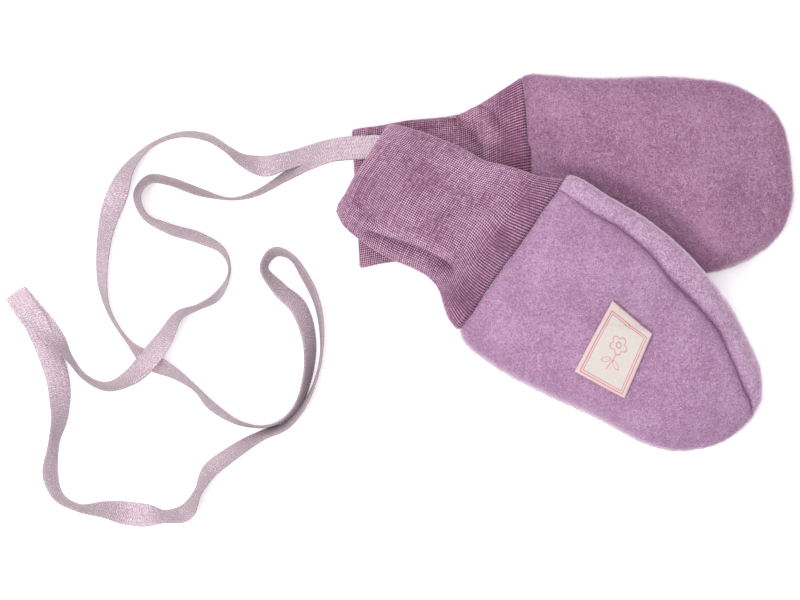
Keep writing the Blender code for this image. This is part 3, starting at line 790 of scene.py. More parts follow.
@dataclass(frozen=True)
class TapeFinish:
    """Flat woven tape with a herringbone of fat pale threads."""

    name: str
    dark: Colour
    light: Colour
    blush: Colour
    # The next two colours are the painted shade of stretches standing on edge.
    shadow: Colour = (0.420, 0.370, 0.380, 1.0)
    standing_shade: Colour = (0.700, 0.630, 0.650, 1.0)
    threads: float = 1.12
    columns: float = 0.75

    def material(self) -> bpy.types.Material:
        """Slanted threads that turn at each column of the herringbone, uneven in shade; stretches
        standing on edge are greyed with painted shade.

        Returns:
            The material.
        """
        n = Nodes(self.name)
        along, across = n.uv()
        column = across * self.columns
        zigzag = ((column.fraction() - 0.5).size() - 0.25) * 4.0
        worn = n.noise(1300.0, 3.0, 0.65)
        uneven = n.noise(520.0, 2.0, 0.5)
        cloud = n.noise(60.0, 2.0, 0.5)
        threads = (along * self.threads + zigzag * 0.42 + (uneven - 0.5) * 1.3).wave()
        valley = (((column * 2.0).fraction() - 0.5).size() * 2.0) ** 6.0
        shade = (threads * 0.62 + (worn - 0.5) * 2.2 - valley * 0.28 + 0.33
                 + (cloud - 0.5) * 0.6 + n.tone("tone"))
        base = n.mix(shade, self.dark, self.light)
        base = n.mix((cloud - 0.45) * 1.6, base, self.blush)
        standing_shade = n.mix(shade, self.shadow, self.standing_shade)
        # Painted shade on stretches that stand on edge.
        base = n.mix(n.tone("stand") * 0.50, base, standing_shade)
        bump = n.bump(threads - valley * 0.4, 0.7, 0.0004)
        bump = n.bump(worn, 0.35, 0.0003, bump)
        return n.finish(base, 0.82, bump, Sheen_Weight=0.2, Specular_IOR_Level=0.25)


@dataclass(frozen=True)
class LabelFinish:
    """Woven label whose threads show under its drawn colours."""

    name: str
    threads: float = 2.6
    gap: Colour = (0.55, 0.42, 0.42, 1.0)

    def material(self) -> bpy.types.Material:
        """The drawn colour darkened a little between the threads.

        Returns:
            The material.
        """
        n = Nodes(self.name)
        along, across = n.uv()
        weave = (along * self.threads).wave() * (across * self.threads).wave()
        drawn = n.colour("drawn")
        shade = n.mix(0.10, drawn, self.gap)
        base = n.mix(weave * 0.9 + 0.1, shade, drawn)
        bump = n.bump(weave, 0.35, 0.00012)
        return n.finish(base, 0.6, bump, Sheen_Weight=0.15, Specular_IOR_Level=0.35)


@dataclass(frozen=True)
class PlainFinish:
    """One even colour for the floor, lit a little from within like a studio's light table."""

    name: str
    shade: Colour
    glow: float = 0.30

    def material(self) -> bpy.types.Material:
        """The plain shader."""
        return Nodes(self.name).finish(self.shade, 0.9, Specular_IOR_Level=0.1,
                                       Emission_Color=(1.0, 1.0, 1.0, 1.0),
                                       Emission_Strength=self.glow)


class Cloth(Enum):
    """The finishes of the pair."""

    UPPER_FLEECE = FleeceFinish("fleece_upper", (0.330, 0.165, 0.300, 1), (0.520, 0.325, 0.490, 1),
                                (0.700, 0.540, 0.670, 1))
    LOWER_FLEECE = FleeceFinish("fleece_lower", (0.238, 0.102, 0.194, 1), (0.415, 0.228, 0.355, 1),
                                (0.600, 0.430, 0.550, 1))
    UPPER_NAP = NapFinish("nap_upper", (0.420, 0.240, 0.390, 1), (0.660, 0.460, 0.620, 1))
    LOWER_NAP = NapFinish("nap_lower", (0.340, 0.175, 0.290, 1), (0.570, 0.370, 0.510, 1))
    UPPER_KNIT = KnitFinish("knit_upper", (0.085, 0.010, 0.055, 1), (0.500, 0.245, 0.405, 1),
                            (0.960, 0.660, 0.850, 1))
    LOWER_KNIT = KnitFinish("knit_lower", (0.085, 0.010, 0.052, 1), (0.470, 0.212, 0.355, 1),
                            (0.930, 0.620, 0.790, 1))
    TAPE = TapeFinish("woven_tape", (0.510, 0.345, 0.430, 1), (0.890, 0.740, 0.815, 1),
                      (0.810, 0.600, 0.710, 1))
    LABEL = LabelFinish("woven_label")
    FLOOR = PlainFinish("floor", (0.93, 0.93, 0.93, 1))


# What lies on what

class Support:
    """The height at which soft cloth is held up over a set of points, kept on a square grid."""

    MARGIN = 34.0
    CELL = 1.0
    BLOCK = 60

    def __init__(self, points: Array) -> None:
        """Works out the grid: each point holds cloth at its own height over the reach, and the
        cloth falls at the slope beyond it; then five copies shifted by the softening are
        averaged, and the grid is blurred once.

        Args:
            points: what lies beneath.
        """
        self.x0, self.y0 = points[:, :2].min(axis=0) - self.MARGIN
        end_x, end_y = points[:, :2].max(axis=0) + self.MARGIN
        xs = np.arange(self.x0, end_x, self.CELL)
        ys = np.arange(self.y0, end_y, self.CELL)
        gx, gy = np.meshgrid(xs, ys, indexing="ij")
        best = np.zeros(gx.shape)
        for block in np.array_split(points, max(1, len(points) // self.BLOCK)):
            away = np.hypot(gx[..., None] - block[:, 0], gy[..., None] - block[:, 1])
            fall = block[:, 2] - REST_SLOPE * np.maximum(0.0, away - REST_REACH)
            best = np.maximum(best, fall.max(axis=-1))
        step = int(round(REST_SOFTEN / self.CELL))
        total = best.copy()
        for axis in (0, 1):
            total += np.roll(best, step, axis) + np.roll(best, -step, axis)
        total /= 5.0
        for axis in (0, 1):
            total = 0.5 * total + 0.25 * (np.roll(total, 1, axis) + np.roll(total, -1, axis))
        self.grid = total

    def height(self, x: Array, y: Array) -> Array:
        """The held height at places, straight between the grid's points.

        Args:
            x: table x.
            y: table y.

        Returns:
            Heights.
        """
        fx = np.clip((x - self.x0) / self.CELL, 0, self.grid.shape[0] - 1.001)
        fy = np.clip((y - self.y0) / self.CELL, 0, self.grid.shape[1] - 1.001)
        i, j = fx.astype(int), fy.astype(int)
        tx, ty = fx - i, fy - j
        g = self.grid
        return ((g[i, j] * (1 - tx) + g[i + 1, j] * tx) * (1 - ty)
                + (g[i, j + 1] * (1 - tx) + g[i + 1, j + 1] * tx) * ty)


def lifted(points: Array, support: Optional[Support]) -> Array:
    """Points raised by a support and its clearance."""
    if support is None:
        return points
    raised = points.copy()
    lift = support.height(points[..., 0], points[..., 1])
    raised[..., 2] += lift + REST_CLEAR * np.clip(lift, 0.0, 1.0)
    return raised


# Mitten skins

@dataclass
class Skin:
    """The outer form of a body or a cuff, as sections strung along it."""

    layout: Layout
    ribs: Sequence[Rib]
    tip: Optional[Pole] = None
    bow: float = 0.0
    bow_rows: float = 1.0
    bow_at_end: bool = False
    press: Optional[Sequence[tuple[float, float]]] = None
    support: Optional[Support] = None

    def table(self) -> Array:
        """The sections as columns: u middle and half, v middle and half, seam, widest height,
        rise over it and drop under it, with a pad row at each end. Past a tip the pad row is
        the last section turned over, so the form closes round.

        Returns:
            The padded table.
        """
        rows = np.array([[0.5 * (r.u_up + r.u_lo), 0.5 * (r.u_up - r.u_lo),
                          0.5 * (r.up + r.lo), 0.5 * (r.up - r.lo),
                          (r.seam - 0.5 * (r.up + r.lo)) / (0.5 * (r.up - r.lo)),
                          r.mid, r.high - r.mid, r.mid - r.low] for r in self.ribs])
        first = 2 * rows[0] - rows[1]
        if self.tip is None:
            return np.vstack([first, rows, 2 * rows[-1] - rows[-2]])
        last = rows[-1]
        pole = np.array([self.tip.u, 0.0, self.tip.v, 0.0, last[4], self.tip.z, 0.0, 0.0])
        turned = np.array([last[0], 0.0, 2 * self.tip.v - last[2], -last[3], last[4],
                           last[5], -last[6], -last[7]])
        return np.vstack([first, rows, pole, turned])

    def length(self) -> float:
        """The table parameter at the far end."""
        return float(len(self.ribs) - (0 if self.tip is not None else 1))

    def rings(self, at: Array, phi: Array) -> Array:
        """Closed sections: v = middle + t * half, with t the signed power of cos(phi), and z the
        power of sin(phi) over or under the widest line, cut flat on the table.

        Args:
            at: table parameters of the sections.
            phi: angles round them, or one row of angles for each section.

        Returns:
            Points, (sections, angles, 3).
        """
        c = spline(self.table(), at)[:, :, None]
        phi = np.broadcast_to(phi, (len(at), phi.shape[-1]))
        over = np.sin(phi) >= 0.0
        power = np.where(over, 2.0 / ROUND_TOP, 2.0 / ROUND_UNDER)
        t = signed_power(np.cos(phi), power)
        rise = np.abs(np.sin(phi)) ** power
        end = self.length() - at if self.bow_at_end else at
        bow = self.bow * smooth_step(self.bow_rows - end, 0.0, self.bow_rows)[:, None]
        u = c[:, 0] + t * c[:, 1] + bow * (1.0 - t * t)
        v = c[:, 2] + t * c[:, 3]
        top = c[:, 5] + c[:, 6] * rise
        low = c[:, 5] - c[:, 7]
        under = np.maximum(low, c[:, 5] - UNDER_FLAT * c[:, 7] * rise)
        if self.press is not None:
            line = np.interp(u, [p[0] for p in self.press], [p[1] for p in self.press])
            cap = PRESSED + PRESS_SLOPE * np.maximum(0.0, v - line)
            edge = c[:, 5] + (cap - c[:, 5]) * np.clip(rise * PRESS_RISE, 0.0, 1.0)
            soft = 0.5 * (top + edge - np.sqrt((top - edge) ** 2 + PRESS_SOFT))
            top = np.where(over, np.maximum(np.minimum(soft, np.minimum(top, edge)), c[:, 5]), top)
        x, y = self.layout.place(u, v)
        return lifted(np.stack([x, y, np.where(over, top, under)], -1), self.support)

    def seam_angle(self, at: Array) -> Array:
        """The angle at which the near side seam crosses each section."""
        t = np.clip(spline(self.table(), at)[:, 4], -1.0, 1.0)
        return np.arccos(signed_power(t, ROUND_TOP / 2.0))

    def tops(self) -> Array:
        """Points of the upper side, as a list, on four sections for each one of the table."""
        at = np.linspace(0.0, self.length() - 0.01, int(self.length() * 4) + 1)
        return self.rings(at, np.linspace(0.0, math.pi, 31)).reshape(-1, 3)

    def on_top(self, u: Array, v: Array) -> Array:
        """Points of the upper side over local (u, v), where the sections stand square.

        Args:
            u: distances along.
            v: distances across.

        Returns:
            Points, with the shape of u.
        """
        at_fine = np.linspace(0.0, self.length(), 400)
        table = spline(self.table(), at_fine)
        at = np.interp(u, table[:, 0], at_fine)
        c = spline(self.table(), at.ravel())
        t = np.clip((v.ravel() - c[:, 2]) / c[:, 3], -1.0, 1.0)
        rise = (1.0 - np.abs(t) ** ROUND_TOP) ** (1.0 / ROUND_TOP)
        x, y = self.layout.place(u.ravel(), v.ravel())
        points = np.stack([x, y, c[:, 5] + c[:, 6] * rise], -1)
        return lifted(points, self.support).reshape(*u.shape, 3)


class Ridge(NamedTuple):
    """A rounded rise or dip along a seam: its height, distance from the seam and width."""

    height: float
    away: float
    width: float

    def over(self, distance: Array) -> Array:
        """Its height at distances from the seam."""
        return self.height * bell(distance - self.away, self.width)


# Rises and dips beside the seams, and their shade.
GROOVE = Ridge(-1.5, 0.0, 1.0)
DIP = Ridge(-0.5, 0.0, 3.2)
SWELL = Ridge(0.30, 4.4, 2.6)
WRIST = Ridge(1.0, 3.2, 2.6)
SEAM_SHADE = Ridge(-0.95, 0.0, 0.7)
SEAM_DUSK = Ridge(-0.30, 0.0, 2.2)
LUMPS = (Layer(0.40, 24.0, 0), Layer(0.10, 10.0, 1))
CURL = (Layer(0.08, 2.7, 2), Layer(0.07, 1.5, 4))
WAVES = (Layer(0.30, 12.0, 0), Layer(0.22, 5.5, 1))
PUCKER_PITCH = 6.0
SEAM_GAP = 0.02           # left open between two panels
TIP_GAP = 0.03            # and at the fingertip, in sections
INNER_FLOOR = 0.4         # lowest height of an inner face

# Fibres of the nap.
NAP_LEAN = (0.10, 0.95)
NAP_LENGTH = (0.3, 1.3)
NAP_THICK = (0.05, 0.09)
NAP_ROOT = 0.12           # how deep a fibre starts in the cloth
NAP_DROOP = 0.10
NAP_FORWARD = 0.35
NAP_LOWEST = 0.5          # no fibre grows below this height

# Cuffs.
TUCK = 0.12               # how far a cuff runs on under the fleece, in sections
TUCK_DEPTH = 1.6
RIB_MEAN = 0.6            # part of a rib's height that lies below the cuff's form
HEM_ANGLES = (25.0, 60.0, 90.0, 120.0, 155.0)


def crowd(share: Array, amount: float) -> Array:
    """Shares from 0 to 1 drawn towards both ends: t - amount sin(2 pi t) / 2 pi."""
    return share - amount * np.sin(TURN * share) / TURN


def crowded(ring: Array, count: int) -> Array:
    """A row of points cut along its own length, closer together towards both ends."""
    run = run_length(ring)
    cut = min(SEAM_GAP, 0.2 * run[-1])
    return resample(ring, run, cut + (run[-1] - 2 * cut) * crowd(np.linspace(0, 1, count), 0.6))


def evenly(ring: Array, count: int) -> Array:
    """A closed row of points cut into equal steps."""
    run = run_length(ring)
    return resample(ring, run, np.linspace(0.0, run[-1], count + 1)[:-1])


def from_cuff(cuff: Array, least: float) -> Array:
    """Rises from a least share at the cuff seam to 1 where the palm is full."""
    return least + (1.0 - least) * smooth_step(cuff, 2.0, 24.0)


class Cut(NamedTuple):
    """A panel's smooth grid, its normals, and each point's distances along the cloth from the
    nearer side seam and from the cuff seam."""

    smooth: Array
    normal: Array
    side: Array
    cuff: Array

    def breadth(self) -> Array:
        """1 where the panel is wide, falling to 0 at the fingertip."""
        return smooth_step(2.0 * self.side.max(axis=1, keepdims=True), 6.0, 26.0)


@dataclass
class Panel:
    """One cut panel of fleece with its nap."""

    name: str
    skin: Skin
    over: bool
    rows: int = 150
    columns: int = 104
    seed: int = 1
    roll: float = 1.7
    fibres: int = 26000
    keep_clear: Optional[Array] = None
    # shade: painted light, lifting or lowering the tone of the whole panel
    shade: float = 0.0

    def cut(self) -> Cut:
        """The panel's smooth outer form, cut finer towards its seams, its cuff and its tip.

        Returns:
            The grid with its normals and distances.
        """
        share = crowd(np.linspace(0.0, 1.0, self.rows), 0.4)
        at = (self.skin.length() - TIP_GAP) * share
        near = self.skin.seam_angle(at)
        far = np.full(len(at), math.pi + SEAM_UNDER)
        start, stop = (near, far) if self.over else (far, near + TURN)
        phi = start[:, None] + (stop - start)[:, None] * np.linspace(0.0, 1.0, RING_STEPS)
        points = np.stack([crowded(ring, self.columns) for ring in self.skin.rings(at, phi)])
        walked = run_length(points, 1)
        side = np.minimum(walked, walked[:, -1:] - walked)
        return Cut(points, grid_normals(points), side, run_length(points))

    def relief(self, cut: Cut) -> Array:
        """Height added to the smooth form: seam grooves with a rim and puckers, an edge rolled
        under along a quarter circle at the cuff, soft lumps and the felted curl of the fleece.

        Args:
            cut: the panel's smooth form.

        Returns:
            Heights.
        """
        points, _, side, cuff = cut
        gather = noise(points, 5.0, self.seed + 3)
        pucker = 1.0 + 0.30 * np.sin(TURN * cuff / PUCKER_PITCH + 2.0 * gather)
        sides = from_cuff(cuff, 0.18) * (
            GROOVE.over(side) + DIP.over(side) + pucker * SWELL.over(side))
        folds = noise(points, 3.4, self.seed + 5)
        left = np.clip(self.roll - cuff, 0.0, self.roll)
        edge = np.sqrt(self.roll ** 2 - left ** 2) - self.roll
        wrist = edge + (0.25 + 0.15 * folds) * WRIST.over(cuff)
        lumps = layered(points, LUMPS, self.seed) + layered(points, CURL, self.seed)
        calm = smooth_step(points[..., 2], 0.3, 2.5)
        return (sides + wrist + lumps * calm) * cut.breadth()

    def wall(self, cut: Cut) -> tuple[Array, Array]:
        """The closed wall: the smooth grid raised by its relief and drawn back at the cuff, an
        inner grid one wall beneath, which turns away from the fingertips where the panel is
        narrow, and a pole for each at the tip.

        Args:
            cut: the panel's smooth form.

        Returns:
            The outer grid, and every point of the wall.
        """
        smooth, normal = cut.smooth, cut.normal
        back = unit(np.gradient(smooth, axis=0)) * (1.5 * bell(cut.cuff, 1.1))[..., None]
        outer = smooth + normal * self.relief(cut)[..., None] - back
        outer[..., 2] = np.maximum(outer[..., 2], 0.0)
        tip = smooth[-1].mean(axis=0)
        forward = unit((tip - smooth[-16].mean(axis=0)) * np.array([1.0, 1.0, 0.0]))
        wide = cut.breadth()[..., None]
        inner = smooth - (normal * wide + forward * (1.0 - wide)) * FLEECE_WALL - back * 0.3
        inner[..., 2] = np.maximum(inner[..., 2], INNER_FLOOR)
        return outer, np.vstack([outer.reshape(-1, 3), inner.reshape(-1, 3),
                                 tip + forward * 0.05, tip - forward * FLEECE_WALL])

    def tones(self, cut: Cut) -> dict[str, Array]:
        """Shades of the wall's points: painted shade darker along the seams, a painted highlight
        paler where the cloth turns edge-on to the sky, the panel's painted light, with soft clouds.
        The rim, a painted highlight, is the square of how far it turns.

        Args:
            cut: the panel's smooth form.

        Returns:
            The point values by name.
        """
        up = cut.normal[..., 2]
        # Painted highlight: paler where the cloth turns edge-on, and the rim below.
        edge_on = smooth_step(1.0 - up, 0.22, 0.80) * smooth_step(up, -0.6, -0.1)
        # Painted shade along the seam grooves.
        seams = SEAM_SHADE.over(cut.side) + SEAM_DUSK.over(cut.side)
        seams = seams * from_cuff(cut.cuff, 0.25)
        clouds = 0.16 * noise(cut.smooth, 14.0, self.seed + 7)
        tone = (seams + 0.45 * edge_on + clouds + self.shade).ravel()
        rim = (edge_on ** 2).ravel()
        return {"tone": np.concatenate([tone, tone - 0.1, tone[-1:], tone[-1:]]),
                "rim": np.concatenate([rim, 0.0 * rim, rim[-1:], rim[-1:]])}

    def build(self, fleece: bpy.types.Material, nap: bpy.types.Material,
              replaced: str) -> bpy.types.Object:
        """Builds the panel as a closed wall, and its nap.

        Args:
            fleece: finish of the cloth.
            nap: finish of the loose fibres.
            replaced: the node that it stands for.

        Returns:
            The panel's object.
        """
        cut = self.cut()
        smooth, cuff = cut.smooth, cut.cuff
        outer, points = self.wall(cut)
        quads, tris = shell_faces(self.rows, self.columns, True)
        uv_grid = np.stack([cuff * 0.01, np.broadcast_to(
            np.linspace(0, 1, self.columns), cuff.shape)], -1).reshape(-1, 2)
        uv = np.vstack([uv_grid, uv_grid, uv_grid[-1:], uv_grid[-1:]])
        tones = self.tones(cut)
        piece = write_piece(self.name, points, quads, tris, uv, tones, fleece)
        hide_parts(replaced)
        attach(piece, "root")
        fibres = self.nap(outer, cut.normal, nap)
        return piece

    def nap(self, outer: Array, normal: Array, finish: bpy.types.Material) -> bpy.types.Object:
        """Short fibres on the panel, each a slim closed spike of four triangles, leaning at
        random and a little towards the fingertips.

        Args:
            outer: the panel's outer grid.
            normal: its normals.
            finish: finish of the fibres.

        Returns:
            The nap's object.
        """
        rng = np.random.default_rng(self.seed * 101 + 7)
        step_a = np.linalg.norm(np.diff(outer, axis=0), axis=2)[:, :-1]
        step_b = np.linalg.norm(np.diff(outer, axis=1), axis=2)[:-1]
        share = (step_a * step_b).ravel()
        cells = rng.choice(len(share), size=self.fibres, p=share / share.sum())
        i, j = np.divmod(cells, outer.shape[1] - 1)
        a, b = rng.random(self.fibres)[:, None], rng.random(self.fibres)[:, None]

        def between(grid: Array) -> Array:
            """Values inside the chosen cells."""
            return ((grid[i, j] * (1 - a) + grid[i + 1, j] * a) * (1 - b)
                    + (grid[i, j + 1] * (1 - a) + grid[i + 1, j + 1] * a) * b)

        root, up = between(outer), unit(between(normal))
        along = unit(between(np.gradient(outer, axis=0)))
        cross = np.cross(up, along)
        turn = rng.uniform(0.0, TURN, self.fibres)[:, None]
        flat = along * (np.cos(turn) + NAP_FORWARD) + cross * np.sin(turn)
        lean = rng.uniform(*NAP_LEAN, self.fibres)[:, None]
        way = unit(up * lean + flat)
        length = rng.gamma(6.0, 0.12, self.fibres)[:, None].clip(*NAP_LENGTH)
        keep = root[:, 2] > NAP_LOWEST
        if self.keep_clear is not None:
            keep &= ~inside_quad(self.skin.layout.local(root[:, 0], root[:, 1]), self.keep_clear)
        root, up, way, length = root[keep], up[keep], way[keep], length[keep]
        side = unit(np.cross(way, up + 0.01))
        other = np.cross(way, side)
        thick = rng.uniform(*NAP_THICK, len(root))[:, None]
        base = root - up * NAP_ROOT
        tip = base + way * length + np.array([0.0, 0.0, -NAP_DROOP]) * length ** 2
        corners = [base + side * thick, base - side * thick * 0.5 + other * thick * 0.87,
                   base - side * thick * 0.5 - other * thick * 0.87, tip]
        points = np.stack(corners, 1).reshape(-1, 3)
        points[:, 2] = np.maximum(points[:, 2], 0.0)
        first = np.arange(len(root))[:, None] * 4
        tris = np.vstack([first + [0, 1, 3], first + [1, 2, 3], first + [2, 0, 3],
                          first + [0, 2, 1]])
        tone = np.repeat(rng.beta(2.2, 2.2, len(root)), 4)
        name = f"{self.name}_nap"
        piece = write_piece(name, points, np.zeros((0, 4), int), tris,
                            np.zeros((len(points), 2)), {"tone": tone}, finish, False)
        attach(piece, "root")
        return piece


def inside_quad(local: tuple[Array, Array], corners: Array) -> Array:
    """Whether places lie inside a four-cornered patch, by the side of each edge.

    Args:
        local: u and v of the places.
        corners: the corners in turn.

    Returns:
        True where inside.
    """
    signs = []
    for k in range(4):
        p, q = corners[k], corners[(k + 1) % 4]
        signs.append((q[0] - p[0]) * (local[1] - p[1]) - (q[1] - p[1]) * (local[0] - p[0]))
    stack = np.array(signs)
    return (stack > 0).all(axis=0) | (stack < 0).all(axis=0)


@dataclass
class Cuff:
    """A finely ribbed tube cuff with a turned edge at its opening."""

    name: str
    skin: Skin
    creases: Sequence[Crease]
    ribs: int = 132
    samples: int = 4
    rows: int = 84
    inner_rows: int = 8
    seed: int = 1

    def pressed(self, crease: Crease, u: Array, v: Array) -> Array:
        """Height of one crease: a bell-shaped trough along its line and a step on its right,
        each fading at the line's two ends.

        Args:
            crease: the crease.
            u: local distances along.
            v: local distances across.

        Returns:
            Heights.
        """
        nearest = np.full(u.shape, 1e9)
        signed, walked = np.zeros(u.shape), np.zeros(u.shape)
        total = 0.0
        for (u0, v0), (u1, v1) in zip(crease.line, crease.line[1:]):
            size = math.hypot(u1 - u0, v1 - v0)
            au, av = (u1 - u0) / size, (v1 - v0) / size
            along = (u - u0) * au + (v - v0) * av
            part = np.clip(along, 0.0, size)
            gap = np.hypot(u - u0 - part * au, v - v0 - part * av)
            closer = gap < nearest
            nearest = np.where(closer, gap, nearest)
            signed = np.where(closer, (v - v0) * au - (u - u0) * av, signed)
            walked = np.where(closer, total + along, walked)
            total += size
        fade = smooth_step(walked, -2.0, 2.5) * smooth_step(total - walked, -2.0, 2.5)
        trough = -crease.depth * bell(nearest, crease.width)
        right = smooth_step(-signed, -0.3, 1.3) * bell(np.minimum(signed, 0.0), crease.reach)
        return (trough + crease.step * right) * fade

    def relief(self, points: Array, share: Array, over: Array) -> tuple[Array, Array]:
        """Height of the creases, the gathers at the fleece and soft waves.

        Args:
            points: the smooth tube.
            share: 0 at the opening and 1 at the fleece.
            over: 1 on the upper side and 0 below.

        Returns:
            Heights, and the part of them that the creases make.
        """
        u, v = self.skin.layout.local(points[..., 0], points[..., 1])
        height = layered(points, WAVES, self.seed)
        fold = np.zeros(u.shape)
        for crease in self.creases:
            fold = fold + self.pressed(crease, u, v) * over
        gather = noise(points * np.array([1.0, 1.0, 0.3]), 4.6, self.seed + 2)
        return height + fold + 0.35 * gather * bell(1.0 - share, 0.20), fold

    def tube(self) -> tuple[Array, Array, Array, Array]:
        """The tube with its creases and no ribs, cut into equal steps round each section and
        lowered where it runs under the fleece.

        Returns:
            Points, normals, the share from the opening to the fleece, and the creases' height.
        """
        columns = self.ribs * self.samples
        ends = self.skin.length()
        at = np.linspace(ends + TUCK, 0.0, self.rows)
        rings = self.skin.rings(at, np.linspace(0.0, TURN, 2 * RING_STEPS + 1))
        smooth = np.stack([evenly(ring, columns) for ring in rings])
        share = np.linspace(1.0, 0.0, self.rows)[:, None] * np.ones((1, columns))
        normal = -grid_normals(smooth, True)
        if float((normal[0, :, 2] * (smooth[0, :, 2] - smooth[0, :, 2].mean())).sum()) < 0:
            normal = -normal
        over = smooth_step(normal[..., 2], 0.05, 0.45)
        height, fold = self.relief(smooth, share, over)
        hidden = smooth_step(at - ends, -0.34, 0.0)[:, None]
        return smooth + normal * (height - TUCK_DEPTH * hidden)[..., None], normal, share, fold

    def hem(self, smooth: Array, normal: Array, lift: Array) -> Array:
        """The turned edge at the opening: points on a half circle as wide as the wall, from its
        outer to its inner face.

        Args:
            smooth: the tube without ribs.
            normal: its normals.
            lift: the height of its ribs.

        Returns:
            One row of points for each angle.
        """
        turn = np.radians(np.array(HEM_ANGLES))[:, None, None]
        out = unit(smooth[-1] - smooth[-4])
        centre = smooth[-1] - normal[-1] * KNIT_WALL * 0.5
        return (centre + normal[-1] * np.cos(turn) * KNIT_WALL * 0.5
                + out * np.sin(turn) * KNIT_WALL * 0.5
                + normal[-1] * lift[-1][:, None] * np.cos(turn))

    def tones(self, grid: Array, shade: Array, folds: Array,
              rib: Array) -> dict[str, Array]:
        """Shades of the knit: darker where it is stretched at the fleece, painted shade darker in
        the creases and in a band at the fleece seam, a painted highlight on the raised side of the
        creases, paler at the turned edge, with soft clouds.

        Args:
            grid: every row of the cuff.
            shade: the share from the opening to the fleece.
            folds: the creases' height.
            rib: height of the ribs from 0 to 1, one a column.

        Returns:
            The point values by name.
        """
        stretch = smooth_step(shade, 0.60, 0.86)
        # Painted shade: the folds term darkens troughs and the lowered band beside a crease and
        # lightens raised parts; the last term darkens the fleece seam.
        tone = (-0.20 * stretch + 0.12 * bell(shade, 0.035)
                + 0.05 * noise(grid, 10.0, self.seed + 5)
                + 0.17 * np.clip(folds, -1.5, 0.8) - 0.25 * bell(1.0 - shade, 0.03))
        ribs = np.broadcast_to(rib, shade.shape)
        return {"rib": ribs.ravel(), "tone": tone.ravel(), "stretch": stretch.ravel()}

    def build(self, finish: bpy.types.Material, replaced: str) -> bpy.types.Object:
        """Builds the tube: ribs all round its outer face, a rounded turned edge at the opening
        and a plain inner face.

        Args:
            finish: finish of the knit.
            replaced: the node that it stands for.

        Returns:
            The cuff's object.
        """
        smooth, normal, share, fold = self.tube()
        columns = self.ribs * self.samples
        phase = (np.arange(columns) % self.samples) / self.samples
        rib = np.cos((phase - 0.5) * TURN) * 0.5 + 0.5
        lift = (0.22 + 0.26 * smooth_step(share, 0.62, 0.92)) * (rib - RIB_MEAN)
        pick = np.linspace(self.rows - 1, 0, self.inner_rows).astype(int)
        grid = np.concatenate([smooth + normal * lift[..., None],
                               self.hem(smooth, normal, lift),
                               smooth[pick] - normal[pick] * KNIT_WALL], 0)
        grid[..., 2] = np.maximum(grid[..., 2], 0.0)
        length = run_length(smooth)
        edge = np.zeros((len(HEM_ANGLES), columns))
        hem_run = length[-1] + np.linspace(0.3, 2.8, len(edge))[:, None]
        along = np.concatenate([length, hem_run, length[pick]], 0)
        around = np.arange(columns) / self.samples
        uv = np.stack(np.broadcast_arrays(along, around), -1).reshape(-1, 2)
        shade = np.concatenate([share, edge, share[pick]], 0)
        folds = np.concatenate([fold, edge, 0.0 * fold[pick]], 0)
        piece = write_piece(self.name, grid.reshape(-1, 3), ring_faces(len(grid), columns, True),
                            np.zeros((0, 3), int), uv, self.tones(grid, shade, folds, rib),
                            finish, period=float(self.ribs))
        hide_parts(replaced)
        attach(piece, "root")
        return piece


# Tape

